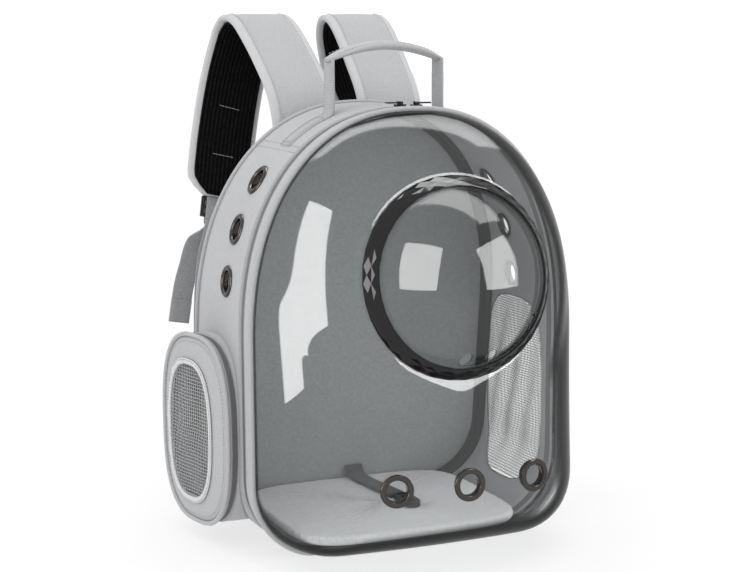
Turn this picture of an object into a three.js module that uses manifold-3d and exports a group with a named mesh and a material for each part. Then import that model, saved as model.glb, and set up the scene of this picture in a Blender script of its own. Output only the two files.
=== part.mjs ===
// Clear-front pet carrier backpack standing on its base, with a padded back, two shoulder
// straps, a clear bubble window and a zipped side pocket.
// Millimetres, +Z up, front towards -Y, origin on the ground under the middle of the base.
import * as THREE from 'three';
import { mergeVertices } from 'three/addons/utils/BufferGeometryUtils.js';
import Module from 'manifold-3d';

const wasm = await Module();
wasm.setup();

// Bag outline, seen from the front
const BAG_HEIGHT = 420;
const HALF_WIDTH = 164;
const CORNER_RADIUS = 72;
const SHOULDER_HEIGHT = 202;
const ARCH_POWER = 2.27;
const FOOT_STEPS = 2;
const CORNER_STEPS = 4;
const FLANK_STEPS = 2;
const ARCH_STEPS = 13;

// Depth of the fabric walls behind the front seam, and how far the back leans per mm of height
const BASE_DEPTH = 192;
const BACK_LEAN = 0.12;
const WALL = 3;
const SEAM_GAP = 0.3;

// Front edge, from the seam backwards: piping, fabric band, zip tape
const PIPING_RADIUS = 2.5;
const PIPING_OUT = 0.2;
const BAND_DEPTH = 17;
const ZIP_DEPTH = 9.8;
const ZIP_INSET = 0.8;
const ZIP_TAPE = 2;
const TEETH_WIDTH = 3.6;
const TEETH_RISE = 1.2;

// Clear front panel
const CLEAR_WALL = 1.5;
const PANEL_INSET = 1.6;
const FLANGE_DEPTH = 14;
const FACE_DEPTH = 92;
const FACE_LEAN_DEG = 8.9;
const EDGE_ZONE = 85;
const EDGE_POWER = 1.7;
const CROWN_RADIUS = 360;
const PANEL_STEPS = [0, 0.03, 0.1, 0.23, 0.42, 0.68, 1];
const PIPING_SIDES = 4;

// Bubble window
const BUBBLE_HEIGHT = 273.4;
const RING_RADIUS = 92.6;
const RING_RIM_RADIUS = 83;
const RING_HEIGHT = 15.4;
const RING_DIAMONDS = 36;
const DOME_RADIUS = 81.2;
const DOME_RISE = 48;
const DOME_WALL = 2;
const DOME_FLANGE = 3;
const BUBBLE_CLEARANCE = 0.6;
const LAND_MARGIN = 2;
const DOME_SIDES = 28;
const DOME_STEPS = 5;
const VENT_RADIUS = 5.5;
const VENT_ANGLES = [-97, -77, -36];
const VENT_REACH = 73;

// Metal grommets
const GROMMET_RADIUS = 15.5;
const HOLE_TOOL = 60;
const GROMMET_BORE = 10;
const GROMMET_BARREL = 0.9;
const GROMMET_CREST = 2.4;
const GROMMET_SIDES = 10;
const FRONT_GROMMET_HEIGHT = 88;
const FRONT_GROMMET_SPACING = 69;
const LEFT_GROMMETS = { depth: 76, heights: [352, 306, 257] };
const RIGHT_GROMMETS = { depth: 106, heights: [342, 293, 242] };

// Back panel and its piping
const BACK_PADDING = 10;
const BACK_EDGE = 4;

// Ventilation windows in the flanks
const LEFT_WINDOW = { depth: 99, height: 112, halfDepth: 46, halfHeight: 76 };
const RIGHT_WINDOW = { depth: 104, height: 122, halfDepth: 62, halfHeight: 96 };
const WINDOW_POWER = 3.4;
const MESH_SHEET = 1.2;
const SHEET_INSET = 0.9;

// Side pocket on the left flank
const POCKET_DEPTH = 98.5;
const POCKET_HEIGHT = 111;
const POCKET_HALF_DEPTH = 60.5;
const POCKET_HALF_HEIGHT = 92.3;
const POCKET_POWER = 2.75;
const POCKET_STAND = 24.6;
const POCKET_TURN_DEG = 12;
const POCKET_WALL = 2.4;
const POCKET_PIPING = 2.2;
const POCKET_ZIP_DEPTH = 5.5;
const POCKET_RIM_DEPTH = 2;
const POCKET_WINDOW = { across: 11, up: -4, halfWidth: 37, halfHeight: 66.5, power: 2.6 };
const POCKET_TAPE_WIDTH = 5;
const POCKET_TAPE = 1.2;

// Carry handle on top
const HANDLE_SPAN = 57;
const HANDLE_DEPTH = 71;
const HANDLE_TOP = 482;
const HANDLE_SHOULDER = 464;
const GRIP_WIDTH = 30;
const GRIP_THICKNESS = 9;
const HANDLE_WEBBING = { width: 24, thickness: 2 };
const ANCHOR_REACH = 46;

// Shoulder straps
const STRAP_WIDTH = 70;
const STRAP_THICKNESS = 8;
const AIR_MESH_WIDTH = 58;
const AIR_MESH = 3;
const STRAP_TIP = 24;
const TIP_SHARE = 0.45;
const BAND_BEVEL = 2.5;
const WEBBING_FOOT = { out: 143, height: 96 };
const STATIONS_PER_POINT = 1.5;
const WEBBING_WIDTH = 22;
const WEBBING = 1.8;
const GLIDE = { width: 32, height: 22, thickness: 3, bar: 4 };
const LAYER_GAP = 0.5;

// Zip sliders on the arch top
const SLIDER_PLACES = [-2.5, 14.5];
const SLIDER = { length: 9, width: 9, thickness: 2.4, earLength: 3, earWidth: 1.2 };
const PULL = { length: 14, width: 7, thickness: 1.4, barrel: 1.1, barrelLength: 4.6, clearance: 0.5 };

// Floor board, fleece mat and safety leash inside
const BOARD_TOP = 10.7;
const MAT_THICKNESS = 9;
const MAT_FRONT = -20;
const LEASH_WIDTH = 20;
const LEASH_THICKNESS = 3;
const LEASH_PLACE = 12;
const LEASH_RUN = { rise: 10, fold: 8, bends: [24, 59], end: 101, drift: 10 };
const MAT_POWER = 5;
const HOOK = { width: 18, length: 42, thickness: 5, wall: 4 };
const HOOK_SLOT = 4;

const root = new THREE.Group();
// Everything below is placed by its depth behind the front seam
const fromSeam = new THREE.Group();
fromSeam.position.y = -BASE_DEPTH / 2;
root.add(fromSeam);

const vec = (x, y, z) => new THREE.Vector3(x, y, z);
const mix = THREE.MathUtils.lerp;
const radians = THREE.MathUtils.degToRad;

const LIGHT_FABRIC = { color: 0xc6c7cb, roughness: 0.85, metalness: 0 };
const INNER_FABRIC = { color: 0x85888b, roughness: 0.9, metalness: 0 };
const ZIP_GREY = { color: 0x8e9094, roughness: 0.6, metalness: 0 };
const WEBBING_GREY = { color: 0xa4a6aa, roughness: 0.8, metalness: 0 };
const BLACK_MESH = { color: 0x101012, roughness: 0.9, metalness: 0 };
const BLACK_GLOSS = { color: 0x0b0b0d, roughness: 0.15, metalness: 0 };
const CLEAR_SMOKE = { color: 0xb9bcbd, roughness: 0.05, metalness: 0 };
const GUNMETAL = { color: 0x4a4542, roughness: 0.25, metalness: 1 };
const FLEECE = { color: 0xe2e3e6, roughness: 1, metalness: 0 };
const NET_GREY = { color: 0xb4b6ba, roughness: 0.7, metalness: 0 };

function addPiece(name, geometry, finish) {
  const mesh = new THREE.Mesh(geometry, new THREE.MeshStandardMaterial(finish));
  mesh.name = name;
  fromSeam.add(mesh);
  return mesh;
}

// A closed body from shared vertices and triangles, turned so that its faces point out
function closedBody(vertices, faces) {
  let volume = 0;
  for (const [a, b, c] of faces) {
    volume += vertices[a].dot(vertices[b].clone().cross(vertices[c]));
  }
  const geometry = new THREE.BufferGeometry();
  geometry.setFromPoints(vertices);
  geometry.setIndex(faces.flatMap(([a, b, c]) => (volume < 0 ? [a, c, b] : [a, b, c])));
  return geometry;
}

// Skin over a row of rings with equal point counts. The row closes on itself, or its two ends
// are closed with a fan of triangles.
function skin(rings, closedRow) {
  const count = rings[0].length;
  const vertices = rings.flat();
  const faces = [];
  const spans = closedRow ? rings.length : rings.length - 1;
  for (let r = 0; r < spans; r++) {
    const next = (r + 1) % rings.length;
    for (let i = 0; i < count; i++) {
      const j = (i + 1) % count;
      faces.push([r * count + i, r * count + j, next * count + j]);
      faces.push([r * count + i, next * count + j, next * count + i]);
    }
  }
  if (!closedRow) {
    for (const [r, turned] of [[0, true], [rings.length - 1, false]]) {
      const middle = vertices.length;
      const centre = vec(0, 0, 0);
      rings[r].forEach((point) => centre.addScaledVector(point, 1 / count));
      vertices.push(centre);
      for (let i = 0; i < count; i++) {
        const edge = [r * count + i, r * count + (i + 1) % count];
        faces.push(turned ? [edge[1], edge[0], middle] : [edge[0], edge[1], middle]);
      }
    }
  }
  return closedBody(vertices, faces);
}

function toSolid(geometry) {
  const bare = new THREE.BufferGeometry();
  bare.setAttribute('position', geometry.getAttribute('position').clone());
  if (geometry.index) bare.setIndex(geometry.index.clone());
  const merged = mergeVertices(bare, 1e-3);
  const position = merged.getAttribute('position');
  const vertices = Array.from({ length: position.count }, (_, i) => vec(0, 0, 0).fromBufferAttribute(position, i));
  const faces = [];
  for (let i = 0; i < merged.index.count; i += 3) {
    const face = [merged.index.getX(i), merged.index.getX(i + 1), merged.index.getX(i + 2)];
    if (new Set(face).size === 3) faces.push(face);
  }
  const body = closedBody(vertices, faces);
  return new wasm.Manifold(new wasm.Mesh({
    numProp: 3,
    vertProperties: body.getAttribute('position').array,
    triVerts: Uint32Array.from(body.index.array),
  }));
}

function toGeometry(solid) {
  const mesh = solid.getMesh();
  const geometry = new THREE.BufferGeometry();
  geometry.setAttribute('position', new THREE.BufferAttribute(mesh.vertProperties, 3));
  geometry.setIndex(Array.from(mesh.triVerts));
  return geometry;
}

function cut(geometry, tools) {
  let solid = toSolid(geometry);
  tools.forEach((tool) => {
    solid = solid.subtract(toSolid(tool));
  });
  return toGeometry(solid);
}

function join(geometries) {
  let solid = toSolid(geometries[0]);
  geometries.slice(1).forEach((geometry) => {
    solid = solid.add(toSolid(geometry));
  });
  return toGeometry(solid);
}

function block(size, centre) {
  return new THREE.BoxGeometry(size.x, size.y, size.z).translate(centre.x, centre.y, centre.z);
}

// Outline of the bag

// Right half of the outline with its outward normals, from the foot's middle to the arch top
function halfOutline() {
  const points = [];
  const flat = HALF_WIDTH - CORNER_RADIUS;
  const rise = BAG_HEIGHT - SHOULDER_HEIGHT;
  for (let i = 0; i <= FOOT_STEPS; i++) {
    points.push({ x: (flat * i) / FOOT_STEPS, z: 0, nx: 0, nz: -1 });
  }
  for (let i = 1; i <= CORNER_STEPS; i++) {
    const turn = (Math.PI / 2) * (i / CORNER_STEPS);
    const nx = Math.sin(turn);
    const nz = -Math.cos(turn);
    points.push({ x: flat + CORNER_RADIUS * nx, z: CORNER_RADIUS * (1 + nz), nx, nz });
  }
  for (let i = 1; i <= FLANK_STEPS; i++) {
    points.push({ x: HALF_WIDTH, z: mix(CORNER_RADIUS, SHOULDER_HEIGHT, i / FLANK_STEPS), nx: 1, nz: 0 });
  }
  for (let i = 1; i <= ARCH_STEPS; i++) {
    const turn = (Math.PI / 2) * (i / ARCH_STEPS);
    const across = Math.max(Math.cos(turn), 0) ** (2 / ARCH_POWER);
    const up = Math.sin(turn) ** (2 / ARCH_POWER);
    const slope = new THREE.Vector2(across ** (ARCH_POWER - 1) / HALF_WIDTH, up ** (ARCH_POWER - 1) / rise);
    slope.normalize();
    points.push({ x: HALF_WIDTH * across, z: SHOULDER_HEIGHT + rise * up, nx: slope.x, nz: slope.y });
  }
  return points;
}

function fullOutline() {
  const right = halfOutline();
  const left = right.slice(1, -1).reverse();
  return [...right, ...left.map((p) => ({ x: -p.x, z: p.z, nx: -p.nx, nz: p.nz }))];
}

const outline = fullOutline();
const backDepth = (z) => BASE_DEPTH - BACK_LEAN * z;

// Ring of the outline moved inwards by inset, at a depth that may follow its height. What
// stands out past the foot, such as a piping, is pressed flat by the bag's weight.
function outlineRing(inset, depthAt) {
  return outline.map((p) => {
    const z = Math.max(p.z - p.nz * inset, 0);
    return vec(p.x - p.nx * inset, depthAt(z), z);
  });
}

// Strip of wall along the outline between two depths
function wallStrip(outer, inner, frontDepth, rearDepth) {
  return skin([
    outlineRing(outer, frontDepth),
    outlineRing(outer, rearDepth),
    outlineRing(inner, rearDepth),
    outlineRing(inner, frontDepth),
  ], true);
}

function pipingLoop(depthAt, radius, out) {
  const rings = [];
  for (let i = 0; i < PIPING_SIDES; i++) {
    const turn = (i / PIPING_SIDES) * 2 * Math.PI;
    rings.push(outlineRing(-out + radius * Math.cos(turn), (z) => depthAt(z) + radius * Math.sin(turn)));
  }
  return skin(rings, true);
}

// Height and normal of the arch or flank surface at a place across or up
function archHeight(x) {
  const rise = BAG_HEIGHT - SHOULDER_HEIGHT;
  return SHOULDER_HEIGHT + rise * (1 - (Math.abs(x) / HALF_WIDTH) ** ARCH_POWER) ** (1 / ARCH_POWER);
}

function flankReach(z) {
  if (z > SHOULDER_HEIGHT) {
    const share = (z - SHOULDER_HEIGHT) / (BAG_HEIGHT - SHOULDER_HEIGHT);
    return HALF_WIDTH * (1 - share ** ARCH_POWER) ** (1 / ARCH_POWER);
  }
  const drop = Math.max(CORNER_RADIUS - z, 0);
  return HALF_WIDTH - CORNER_RADIUS + Math.sqrt(Math.max(CORNER_RADIUS ** 2 - drop ** 2, 0));
}

function flankNormal(z, side) {
  const step = 0.5;
  const slope = (flankReach(z + step) - flankReach(z - step)) / (2 * step);
  return vec(side, 0, -slope).normalize();
}

// Closed curve like a rounded rectangle, as points across and up
function roundedLoop(halfAcross, halfUp, power, count) {
  const loop = [];
  for (let i = 0; i < count; i++) {
    const turn = ((i + 0.5) / count) * 2 * Math.PI;
    const c = Math.cos(turn);
    const s = Math.sin(turn);
    loop.push(new THREE.Vector2(
      halfAcross * Math.sign(c) * Math.abs(c) ** (2 / power),
      halfUp * Math.sign(s) * Math.abs(s) ** (2 / power),
    ));
  }
  return loop;
}

// Front edge

const pipingDepth = PIPING_RADIUS + SEAM_GAP;
const bandFront = 2 * PIPING_RADIUS + 2 * SEAM_GAP;
const zipFront = bandFront + BAND_DEPTH + SEAM_GAP;
const gussetFront = zipFront + ZIP_DEPTH + SEAM_GAP;

addPiece('front_piping', pipingLoop(() => pipingDepth, PIPING_RADIUS, PIPING_OUT), LIGHT_FABRIC);
addPiece('front_band', wallStrip(0, WALL, () => bandFront, () => bandFront + BAND_DEPTH), LIGHT_FABRIC);

function zipTape(front) {
  const middle = front + ZIP_DEPTH / 2;
  const profile = [
    [ZIP_INSET, front],
    [ZIP_INSET - TEETH_RISE, middle - TEETH_WIDTH / 2],
    [ZIP_INSET - TEETH_RISE, middle + TEETH_WIDTH / 2],
    [ZIP_INSET, front + ZIP_DEPTH],
    [ZIP_INSET + ZIP_TAPE, front + ZIP_DEPTH],
    [ZIP_INSET + ZIP_TAPE, front],
  ];
  return skin(profile.map(([inset, depth]) => outlineRing(inset, () => depth)), true);
}

const zipMesh = addPiece('front_zip', zipTape(zipFront), ZIP_GREY);

// Clear front panel

const faceLean = radians(FACE_LEAN_DEG);
const bubbleAxis = vec(0, -Math.cos(faceLean), Math.sin(faceLean));
const bubbleUp = vec(0, Math.sin(faceLean), Math.cos(faceLean));
const bubbleCentre = vec(0, -FACE_DEPTH, BUBBLE_HEIGHT);
const holeRadius = DOME_RADIUS + BUBBLE_CLEARANCE + 0.6;
const landRadius = RING_RADIUS + LAND_MARGIN;

// Point in the bubble's own directions: across, up and out along its axis
function bubblePoint(across, up, out) {
  return bubbleCentre.clone()
    .addScaledVector(vec(1, 0, 0), across)
    .addScaledVector(bubbleUp, up)
    .addScaledVector(bubbleAxis, out);
}

const seamLoop = outlineRing(PANEL_INSET, () => 0);

// Distance of a place on the front, across and up, from the seam
function seamDistance(x, z) {
  let nearest = Infinity;
  seamLoop.forEach((start, i) => {
    const end = seamLoop[(i + 1) % seamLoop.length];
    const runX = end.x - start.x;
    const runZ = end.z - start.z;
    const share = ((x - start.x) * runX + (z - start.z) * runZ) / (runX ** 2 + runZ ** 2);
    const on = THREE.MathUtils.clamp(share, 0, 1);
    nearest = Math.min(nearest, Math.hypot(x - start.x - runX * on, z - start.z - runZ * on));
  });
  return nearest;
}

// How far the clear face stands in front of the seam: a plane leaning back, crowned across
// below the bubble, and rounded off over an edge zone that ends at the bubble's land
function faceReach(x, z) {
  const plane = FACE_DEPTH + Math.tan(faceLean) * (BUBBLE_HEIGHT - z);
  const fromBubble = Math.hypot(x, (z - BUBBLE_HEIGHT) / Math.cos(faceLean));
  const crown = THREE.MathUtils.smoothstep(fromBubble, landRadius, 1.6 * landRadius);
  const bare = plane - (crown * x * x) / (2 * CROWN_RADIUS);
  const edge = seamDistance(x, z);
  const span = edge + Math.max(fromBubble - landRadius, 0);
  const zone = (span ** -4 + EDGE_ZONE ** -4) ** -0.25;
  const left = Math.max(0, 1 - edge / zone);
  return bare * (1 - left ** EDGE_POWER) ** (1 / EDGE_POWER);
}

// Rings of the panel's outer skin from the seam to the land under the bubble's ring
function panelRings() {
  const places = seamLoop.map((start) => {
    const turn = Math.atan2(start.z - BUBBLE_HEIGHT, start.x);
    return { start, land: bubblePoint(landRadius * Math.cos(turn), landRadius * Math.sin(turn), 0), turn };
  });
  const rings = PANEL_STEPS.map((share) => places.map(({ start, land }) => {
    const x = mix(start.x, land.x, share);
    const z = mix(start.z, land.z, share);
    return vec(x, -faceReach(x, z), z);
  }));
  const hole = places.map(({ turn }) => bubblePoint(holeRadius * Math.cos(turn), holeRadius * Math.sin(turn), 0));
  return [...rings, hole];
}

// Copy of a grid of rings moved inwards along its own normals
function innerRings(rings, wall) {
  const count = rings[0].length;
  return rings.map((ring, r) => ring.map((point, i) => {
    const along = ring[(i + 1) % count].clone().sub(ring[(i + count - 1) % count]);
    const before = rings[Math.max(r - 1, 0)][i];
    const after = rings[Math.min(r + 1, rings.length - 1)][i];
    const normal = along.cross(after.clone().sub(before)).normalize();
    return point.clone().addScaledVector(normal, -wall);
  }));
}

function panelShell() {
  const outer = panelRings();
  const inner = innerRings(outer, CLEAR_WALL);
  const flangeInset = WALL + SEAM_GAP;
  const flange = [
    outlineRing(flangeInset, () => FLANGE_DEPTH),
    outlineRing(flangeInset, () => bandFront - SEAM_GAP),
  ];
  const lining = [
    outlineRing(flangeInset + CLEAR_WALL, () => bandFront - SEAM_GAP),
    outlineRing(flangeInset + CLEAR_WALL, () => FLANGE_DEPTH),
  ];
  inner[0] = outlineRing(PANEL_INSET + CLEAR_WALL, () => 0);
  return skin([...flange, ...outer, ...inner.reverse(), ...lining], true);
}

// Grommets

// Highest and lowest level of a wall under a flange, measured along the flange's axis
function wallLevels(wall, centre, axis) {
  const reach = 40;
  const across = vec(0, 0, 1).cross(axis).normalize();
  const up = axis.clone().cross(across);
  const levels = { high: -Infinity, low: Infinity };
  const caster = new THREE.Raycaster();
  const probes = 2 * GROMMET_SIDES;
  for (const radius of [GROMMET_BORE, (GROMMET_BORE + GROMMET_RADIUS) / 2, GROMMET_RADIUS]) {
    for (let i = 0; i < probes; i++) {
      const turn = (i / probes) * 2 * Math.PI;
      const foot = centre.clone()
        .addScaledVector(across, radius * Math.cos(turn))
        .addScaledVector(up, radius * Math.sin(turn));
      caster.set(foot.clone().addScaledVector(axis, reach), axis.clone().negate());
      const above = caster.intersectObject(wall)[0];
      caster.set(foot.clone().addScaledVector(axis, -reach), axis);
      const below = caster.intersectObject(wall)[0];
      if (above) levels.high = Math.max(levels.high, reach - above.distance);
      if (below) levels.low = Math.min(levels.low, below.distance - reach);
    }
  }
  return levels;
}

function alongAxis(geometry, centre, axis) {
  const turn = new THREE.Quaternion().setFromUnitVectors(vec(0, 1, 0), axis);
  return geometry.applyQuaternion(turn).translate(centre.x, centre.y, centre.z);
}

function grommetBody(grip) {
  const barrel = GROMMET_BORE + GROMMET_BARREL;
  const washer = GROMMET_RADIUS - 2;
  const profile = [
    [GROMMET_BORE, GROMMET_CREST / 2],
    [mix(GROMMET_BORE, GROMMET_RADIUS, 0.4), GROMMET_CREST],
    [GROMMET_RADIUS, 0],
    [barrel, 0],
    [barrel, -grip],
    [washer, -grip],
    [GROMMET_BORE, -grip - GROMMET_BARREL],
  ].map(([r, h]) => new THREE.Vector2(r, h));
  profile.push(profile[0].clone());
  return toGeometry(toSolid(new THREE.LatheGeometry(profile, GROMMET_SIDES)));
}

function grommetHole(centre, axis) {
  const radius = GROMMET_BORE + GROMMET_BARREL + 0.6;
  return alongAxis(new THREE.CylinderGeometry(radius, radius, HOLE_TOOL, GROMMET_SIDES), centre, axis);
}

// Cuts the grommets' holes in a wall and returns the wall with a seated grommet for each
function withGrommets(wall, places) {
  const whole = new THREE.Mesh(wall);
  const grommets = places.map(({ centre, axis }) => {
    const levels = wallLevels(whole, centre, axis);
    const seat = levels.high + SEAM_GAP;
    const grip = seat - levels.low + SEAM_GAP;
    return alongAxis(grommetBody(grip), centre.clone().addScaledVector(axis, seat), axis);
  });
  return { wall: cut(wall, places.map(({ centre, axis }) => grommetHole(centre, axis))), grommets };
}

// Point of the clear face and its outward normal, found on the finished skin
function facePlace(skinMesh, x, z) {
  const caster = new THREE.Raycaster(vec(x, -3 * FACE_DEPTH, z), vec(0, 1, 0));
  const centre = caster.intersectObject(skinMesh)[0].point;
  const step = GROMMET_RADIUS;
  const probe = (dx, dz) => {
    caster.set(vec(x + dx, -3 * FACE_DEPTH, z + dz), vec(0, 1, 0));
    return caster.intersectObject(skinMesh)[0].point;
  };
  const across = probe(step, 0).sub(probe(-step, 0));
  const up = probe(0, step).sub(probe(0, -step));
  return { centre, axis: across.cross(up).normalize() };
}

const bareShell = panelShell();
const shellMesh = new THREE.Mesh(bareShell);
const frontPlaces = [-1, 0, 1].map((side) => (
  facePlace(shellMesh, side * FRONT_GROMMET_SPACING, FRONT_GROMMET_HEIGHT)
));
const front = withGrommets(bareShell, frontPlaces);
addPiece('window_panel', front.wall, CLEAR_SMOKE);
front.grommets.forEach((body, i) => addPiece(`front_grommet_${i + 1}`, body, GUNMETAL));

// Bubble window: a diamond-cut ring and a clear dome held in it

function bubbleLathe(profile, sides) {
  const lathe = new THREE.LatheGeometry(profile.map(([r, h]) => new THREE.Vector2(r, h)), sides);
  return alongAxis(toGeometry(toSolid(lathe)), bubbleCentre, bubbleAxis);
}

function ringRow(radius, out, halfTurned) {
  const row = [];
  for (let i = 0; i < RING_DIAMONDS; i++) {
    const turn = ((i + (halfTurned ? 0.5 : 0)) / RING_DIAMONDS) * 2 * Math.PI;
    row.push(bubblePoint(radius * Math.cos(turn), radius * Math.sin(turn), out));
  }
  return row;
}

// Faces between a straight row and a half-turned row, so that their edges make diamonds
function zigzag(faces, lower, upper, lowerLeads) {
  for (let i = 0; i < RING_DIAMONDS; i++) {
    const j = (i + 1) % RING_DIAMONDS;
    if (lowerLeads) {
      faces.push([lower + i, lower + j, upper + i], [upper + i, lower + j, upper + j]);
    } else {
      faces.push([lower + i, upper + j, upper + i], [lower + i, lower + j, upper + j]);
    }
  }
}

function diamondRing() {
  const bore = DOME_RADIUS + BUBBLE_CLEARANCE;
  const recess = bore + DOME_FLANGE;
  const recessTop = SEAM_GAP + DOME_WALL + 2 * BUBBLE_CLEARANCE;
  const bulge = mix(RING_RADIUS, RING_RIM_RADIUS, 0.35);
  const rows = [
    ringRow(RING_RADIUS, SEAM_GAP, false),
    ringRow(RING_RADIUS, SEAM_GAP + 2, false),
    ringRow(bulge, SEAM_GAP + 2 + (RING_HEIGHT - 3) / 2, true),
    ringRow(RING_RIM_RADIUS, RING_HEIGHT - 1, false),
    ringRow(bore + 0.5, RING_HEIGHT, false),
    ringRow(bore, RING_HEIGHT - 1, false),
    ringRow(bore, recessTop, false),
    ringRow(recess, recessTop, false),
    ringRow(recess, SEAM_GAP, false),
  ];
  const faces = [];
  rows.forEach((row, r) => {
    const next = (r + 1) % rows.length;
    const start = r * RING_DIAMONDS;
    zigzag(faces, start, next * RING_DIAMONDS, r !== 2);
  });
  return closedBody(rows.flat(), faces);
}

function domeProfile() {
  const sphere = (DOME_RADIUS ** 2 + DOME_RISE ** 2) / (2 * DOME_RISE);
  const edgeTurn = Math.asin(DOME_RADIUS / sphere);
  const cap = (radius) => {
    const arc = [];
    for (let i = 0; i <= DOME_STEPS; i++) {
      const turn = (edgeTurn * i) / DOME_STEPS;
      arc.push([radius * Math.sin(turn), RING_HEIGHT + DOME_RISE - sphere + radius * Math.cos(turn)]);
    }
    return arc;
  };
  const flangeFoot = SEAM_GAP + BUBBLE_CLEARANCE;
  const outer = [
    ...cap(sphere),
    [DOME_RADIUS, flangeFoot + DOME_WALL],
    [DOME_RADIUS + DOME_FLANGE, flangeFoot + DOME_WALL],
    [DOME_RADIUS + DOME_FLANGE, flangeFoot],
  ];
  const inner = cap(sphere - DOME_WALL).reverse();
  return [...outer, [inner[0][0], flangeFoot], ...inner];
}

function bubbleDome() {
  const vents = VENT_ANGLES.map((degrees) => {
    const turn = radians(degrees);
    const centre = bubblePoint(VENT_REACH * Math.cos(turn), VENT_REACH * Math.sin(turn), RING_HEIGHT);
    return alongAxis(new THREE.CylinderGeometry(VENT_RADIUS, VENT_RADIUS, 2 * DOME_RISE, 10), centre, bubbleAxis);
  });
  return cut(bubbleLathe(domeProfile(), DOME_SIDES), vents);
}

addPiece('bubble_ring', diamondRing(), BLACK_GLOSS);
addPiece('bubble_dome', bubbleDome(), CLEAR_SMOKE);

// Fabric walls, back panel and flank windows

const backPipingRoom = 2 * PIPING_RADIUS + 2 * SEAM_GAP;
const gussetBack = (z) => backDepth(z) - backPipingRoom;

function windowCutter(side, window) {
  const shape = new THREE.Shape(roundedLoop(window.halfDepth, window.halfHeight, WINDOW_POWER, 20));
  const prism = new THREE.ExtrudeGeometry(shape, { depth: HALF_WIDTH, bevelEnabled: false });
  prism.rotateX(Math.PI / 2).rotateZ(Math.PI / 2);
  if (side < 0) prism.translate(-HALF_WIDTH, 0, 0);
  return prism.translate(side * HALF_WIDTH * 0.4, window.depth, window.height);
}

function flankPlace(side, depth, height) {
  return { centre: vec(side * flankReach(height), depth, height), axis: flankNormal(height, side) };
}

const gussetShell = cut(
  wallStrip(0, WALL, () => gussetFront, gussetBack),
  [windowCutter(-1, LEFT_WINDOW), windowCutter(1, RIGHT_WINDOW)],
);
const flankPlaces = [
  ...LEFT_GROMMETS.heights.map((height) => flankPlace(-1, LEFT_GROMMETS.depth, height)),
  ...RIGHT_GROMMETS.heights.map((height) => flankPlace(1, RIGHT_GROMMETS.depth, height)),
];
const walls = withGrommets(gussetShell, flankPlaces);
addPiece('gusset', walls.wall, LIGHT_FABRIC);
walls.grommets.forEach((body, i) => {
  const side = i < LEFT_GROMMETS.heights.length ? 'left' : 'right';
  const number = side === 'left' ? i + 1 : i + 1 - LEFT_GROMMETS.heights.length;
  addPiece(`${side}_grommet_${number}`, body, GUNMETAL);
});

// Sheet of net that fills a flank window and follows the wall
function windowSheet(side, window) {
  const loop = roundedLoop(window.halfDepth - SEAM_GAP, window.halfHeight - SEAM_GAP, WINDOW_POWER, 20);
  const sheetRing = (share, inset) => loop.map((p) => {
    const z = window.height + p.y * share;
    return vec(side * (flankReach(z) - inset), window.depth + p.x * share, z);
  });
  const outside = [0.5, 0.78, 1].map((share) => sheetRing(share, SHEET_INSET));
  const inside = [1, 0.78, 0.5].map((share) => sheetRing(share, SHEET_INSET + MESH_SHEET));
  return skin([...outside, ...inside], false);
}

addPiece('left_side_mesh', windowSheet(-1, LEFT_WINDOW), NET_GREY);
addPiece('right_side_mesh', windowSheet(1, RIGHT_WINDOW), NET_GREY);
addPiece(
  'back_piping',
  pipingLoop((z) => backDepth(z) - backPipingRoom / 2, PIPING_RADIUS, PIPING_OUT),
  LIGHT_FABRIC,
);

function backPanel() {
  const layer = (inset, depth) => outlineRing(inset, (z) => backDepth(z) + depth);
  return skin([
    layer(0.5, 0),
    layer(0, BACK_PADDING * 0.4),
    layer(BACK_EDGE, BACK_PADDING * 0.85),
    layer(3 * BACK_EDGE, BACK_PADDING),
  ], false);
}

addPiece('back_panel', backPanel(), LIGHT_FABRIC);

// Side pocket on the left flank, its face turned a little to the front

const pocketTurn = radians(POCKET_TURN_DEG);
const pocketLoop = (margin) => (
  roundedLoop(POCKET_HALF_DEPTH - margin, POCKET_HALF_HEIGHT - margin, POCKET_POWER, 24)
);

// Point by its place on the pocket's face: across to the back, up, and out from the face
function pocketPoint(across, up, out) {
  const slant = across / Math.cos(pocketTurn);
  return vec(
    -HALF_WIDTH - POCKET_STAND - slant * Math.sin(pocketTurn) - out * Math.cos(pocketTurn),
    POCKET_DEPTH + across - out * Math.sin(pocketTurn),
    POCKET_HEIGHT + up,
  );
}

function flankPoint(across, up, out) {
  const z = POCKET_HEIGHT + up;
  return vec(-flankReach(z) - out, POCKET_DEPTH + across, z);
}

const pocketRing = (margin, out) => pocketLoop(margin).map((p) => pocketPoint(p.x, p.y, out));
const flankRing = (margin, out) => pocketLoop(margin).map((p) => flankPoint(p.x, p.y, out));

function pocketStrip(margin, wall, outNear, outFar) {
  return skin([
    pocketRing(margin, outNear),
    pocketRing(margin, outFar),
    pocketRing(margin + wall, outFar),
    pocketRing(margin + wall, outNear),
  ], true);
}

const pocketZipTop = -POCKET_WALL - POCKET_RIM_DEPTH - SEAM_GAP;
const pocketWallTop = pocketZipTop - POCKET_ZIP_DEPTH - SEAM_GAP;

addPiece('pocket_wall', skin([
  flankRing(0, 2 * SEAM_GAP),
  pocketRing(0, pocketWallTop),
  pocketRing(POCKET_WALL, pocketWallTop),
  flankRing(POCKET_WALL, 2 * SEAM_GAP),
], true), LIGHT_FABRIC);

function pocketZip() {
  const near = pocketZipTop - POCKET_ZIP_DEPTH;
  const middle = pocketZipTop - POCKET_ZIP_DEPTH / 2;
  const profile = [
    [ZIP_INSET, near],
    [ZIP_INSET - TEETH_RISE, middle],
    [ZIP_INSET, pocketZipTop],
    [ZIP_INSET + ZIP_TAPE, pocketZipTop],
    [ZIP_INSET + ZIP_TAPE, near],
  ];
  return skin(profile.map(([margin, out]) => pocketRing(margin, out)), true);
}

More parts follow.
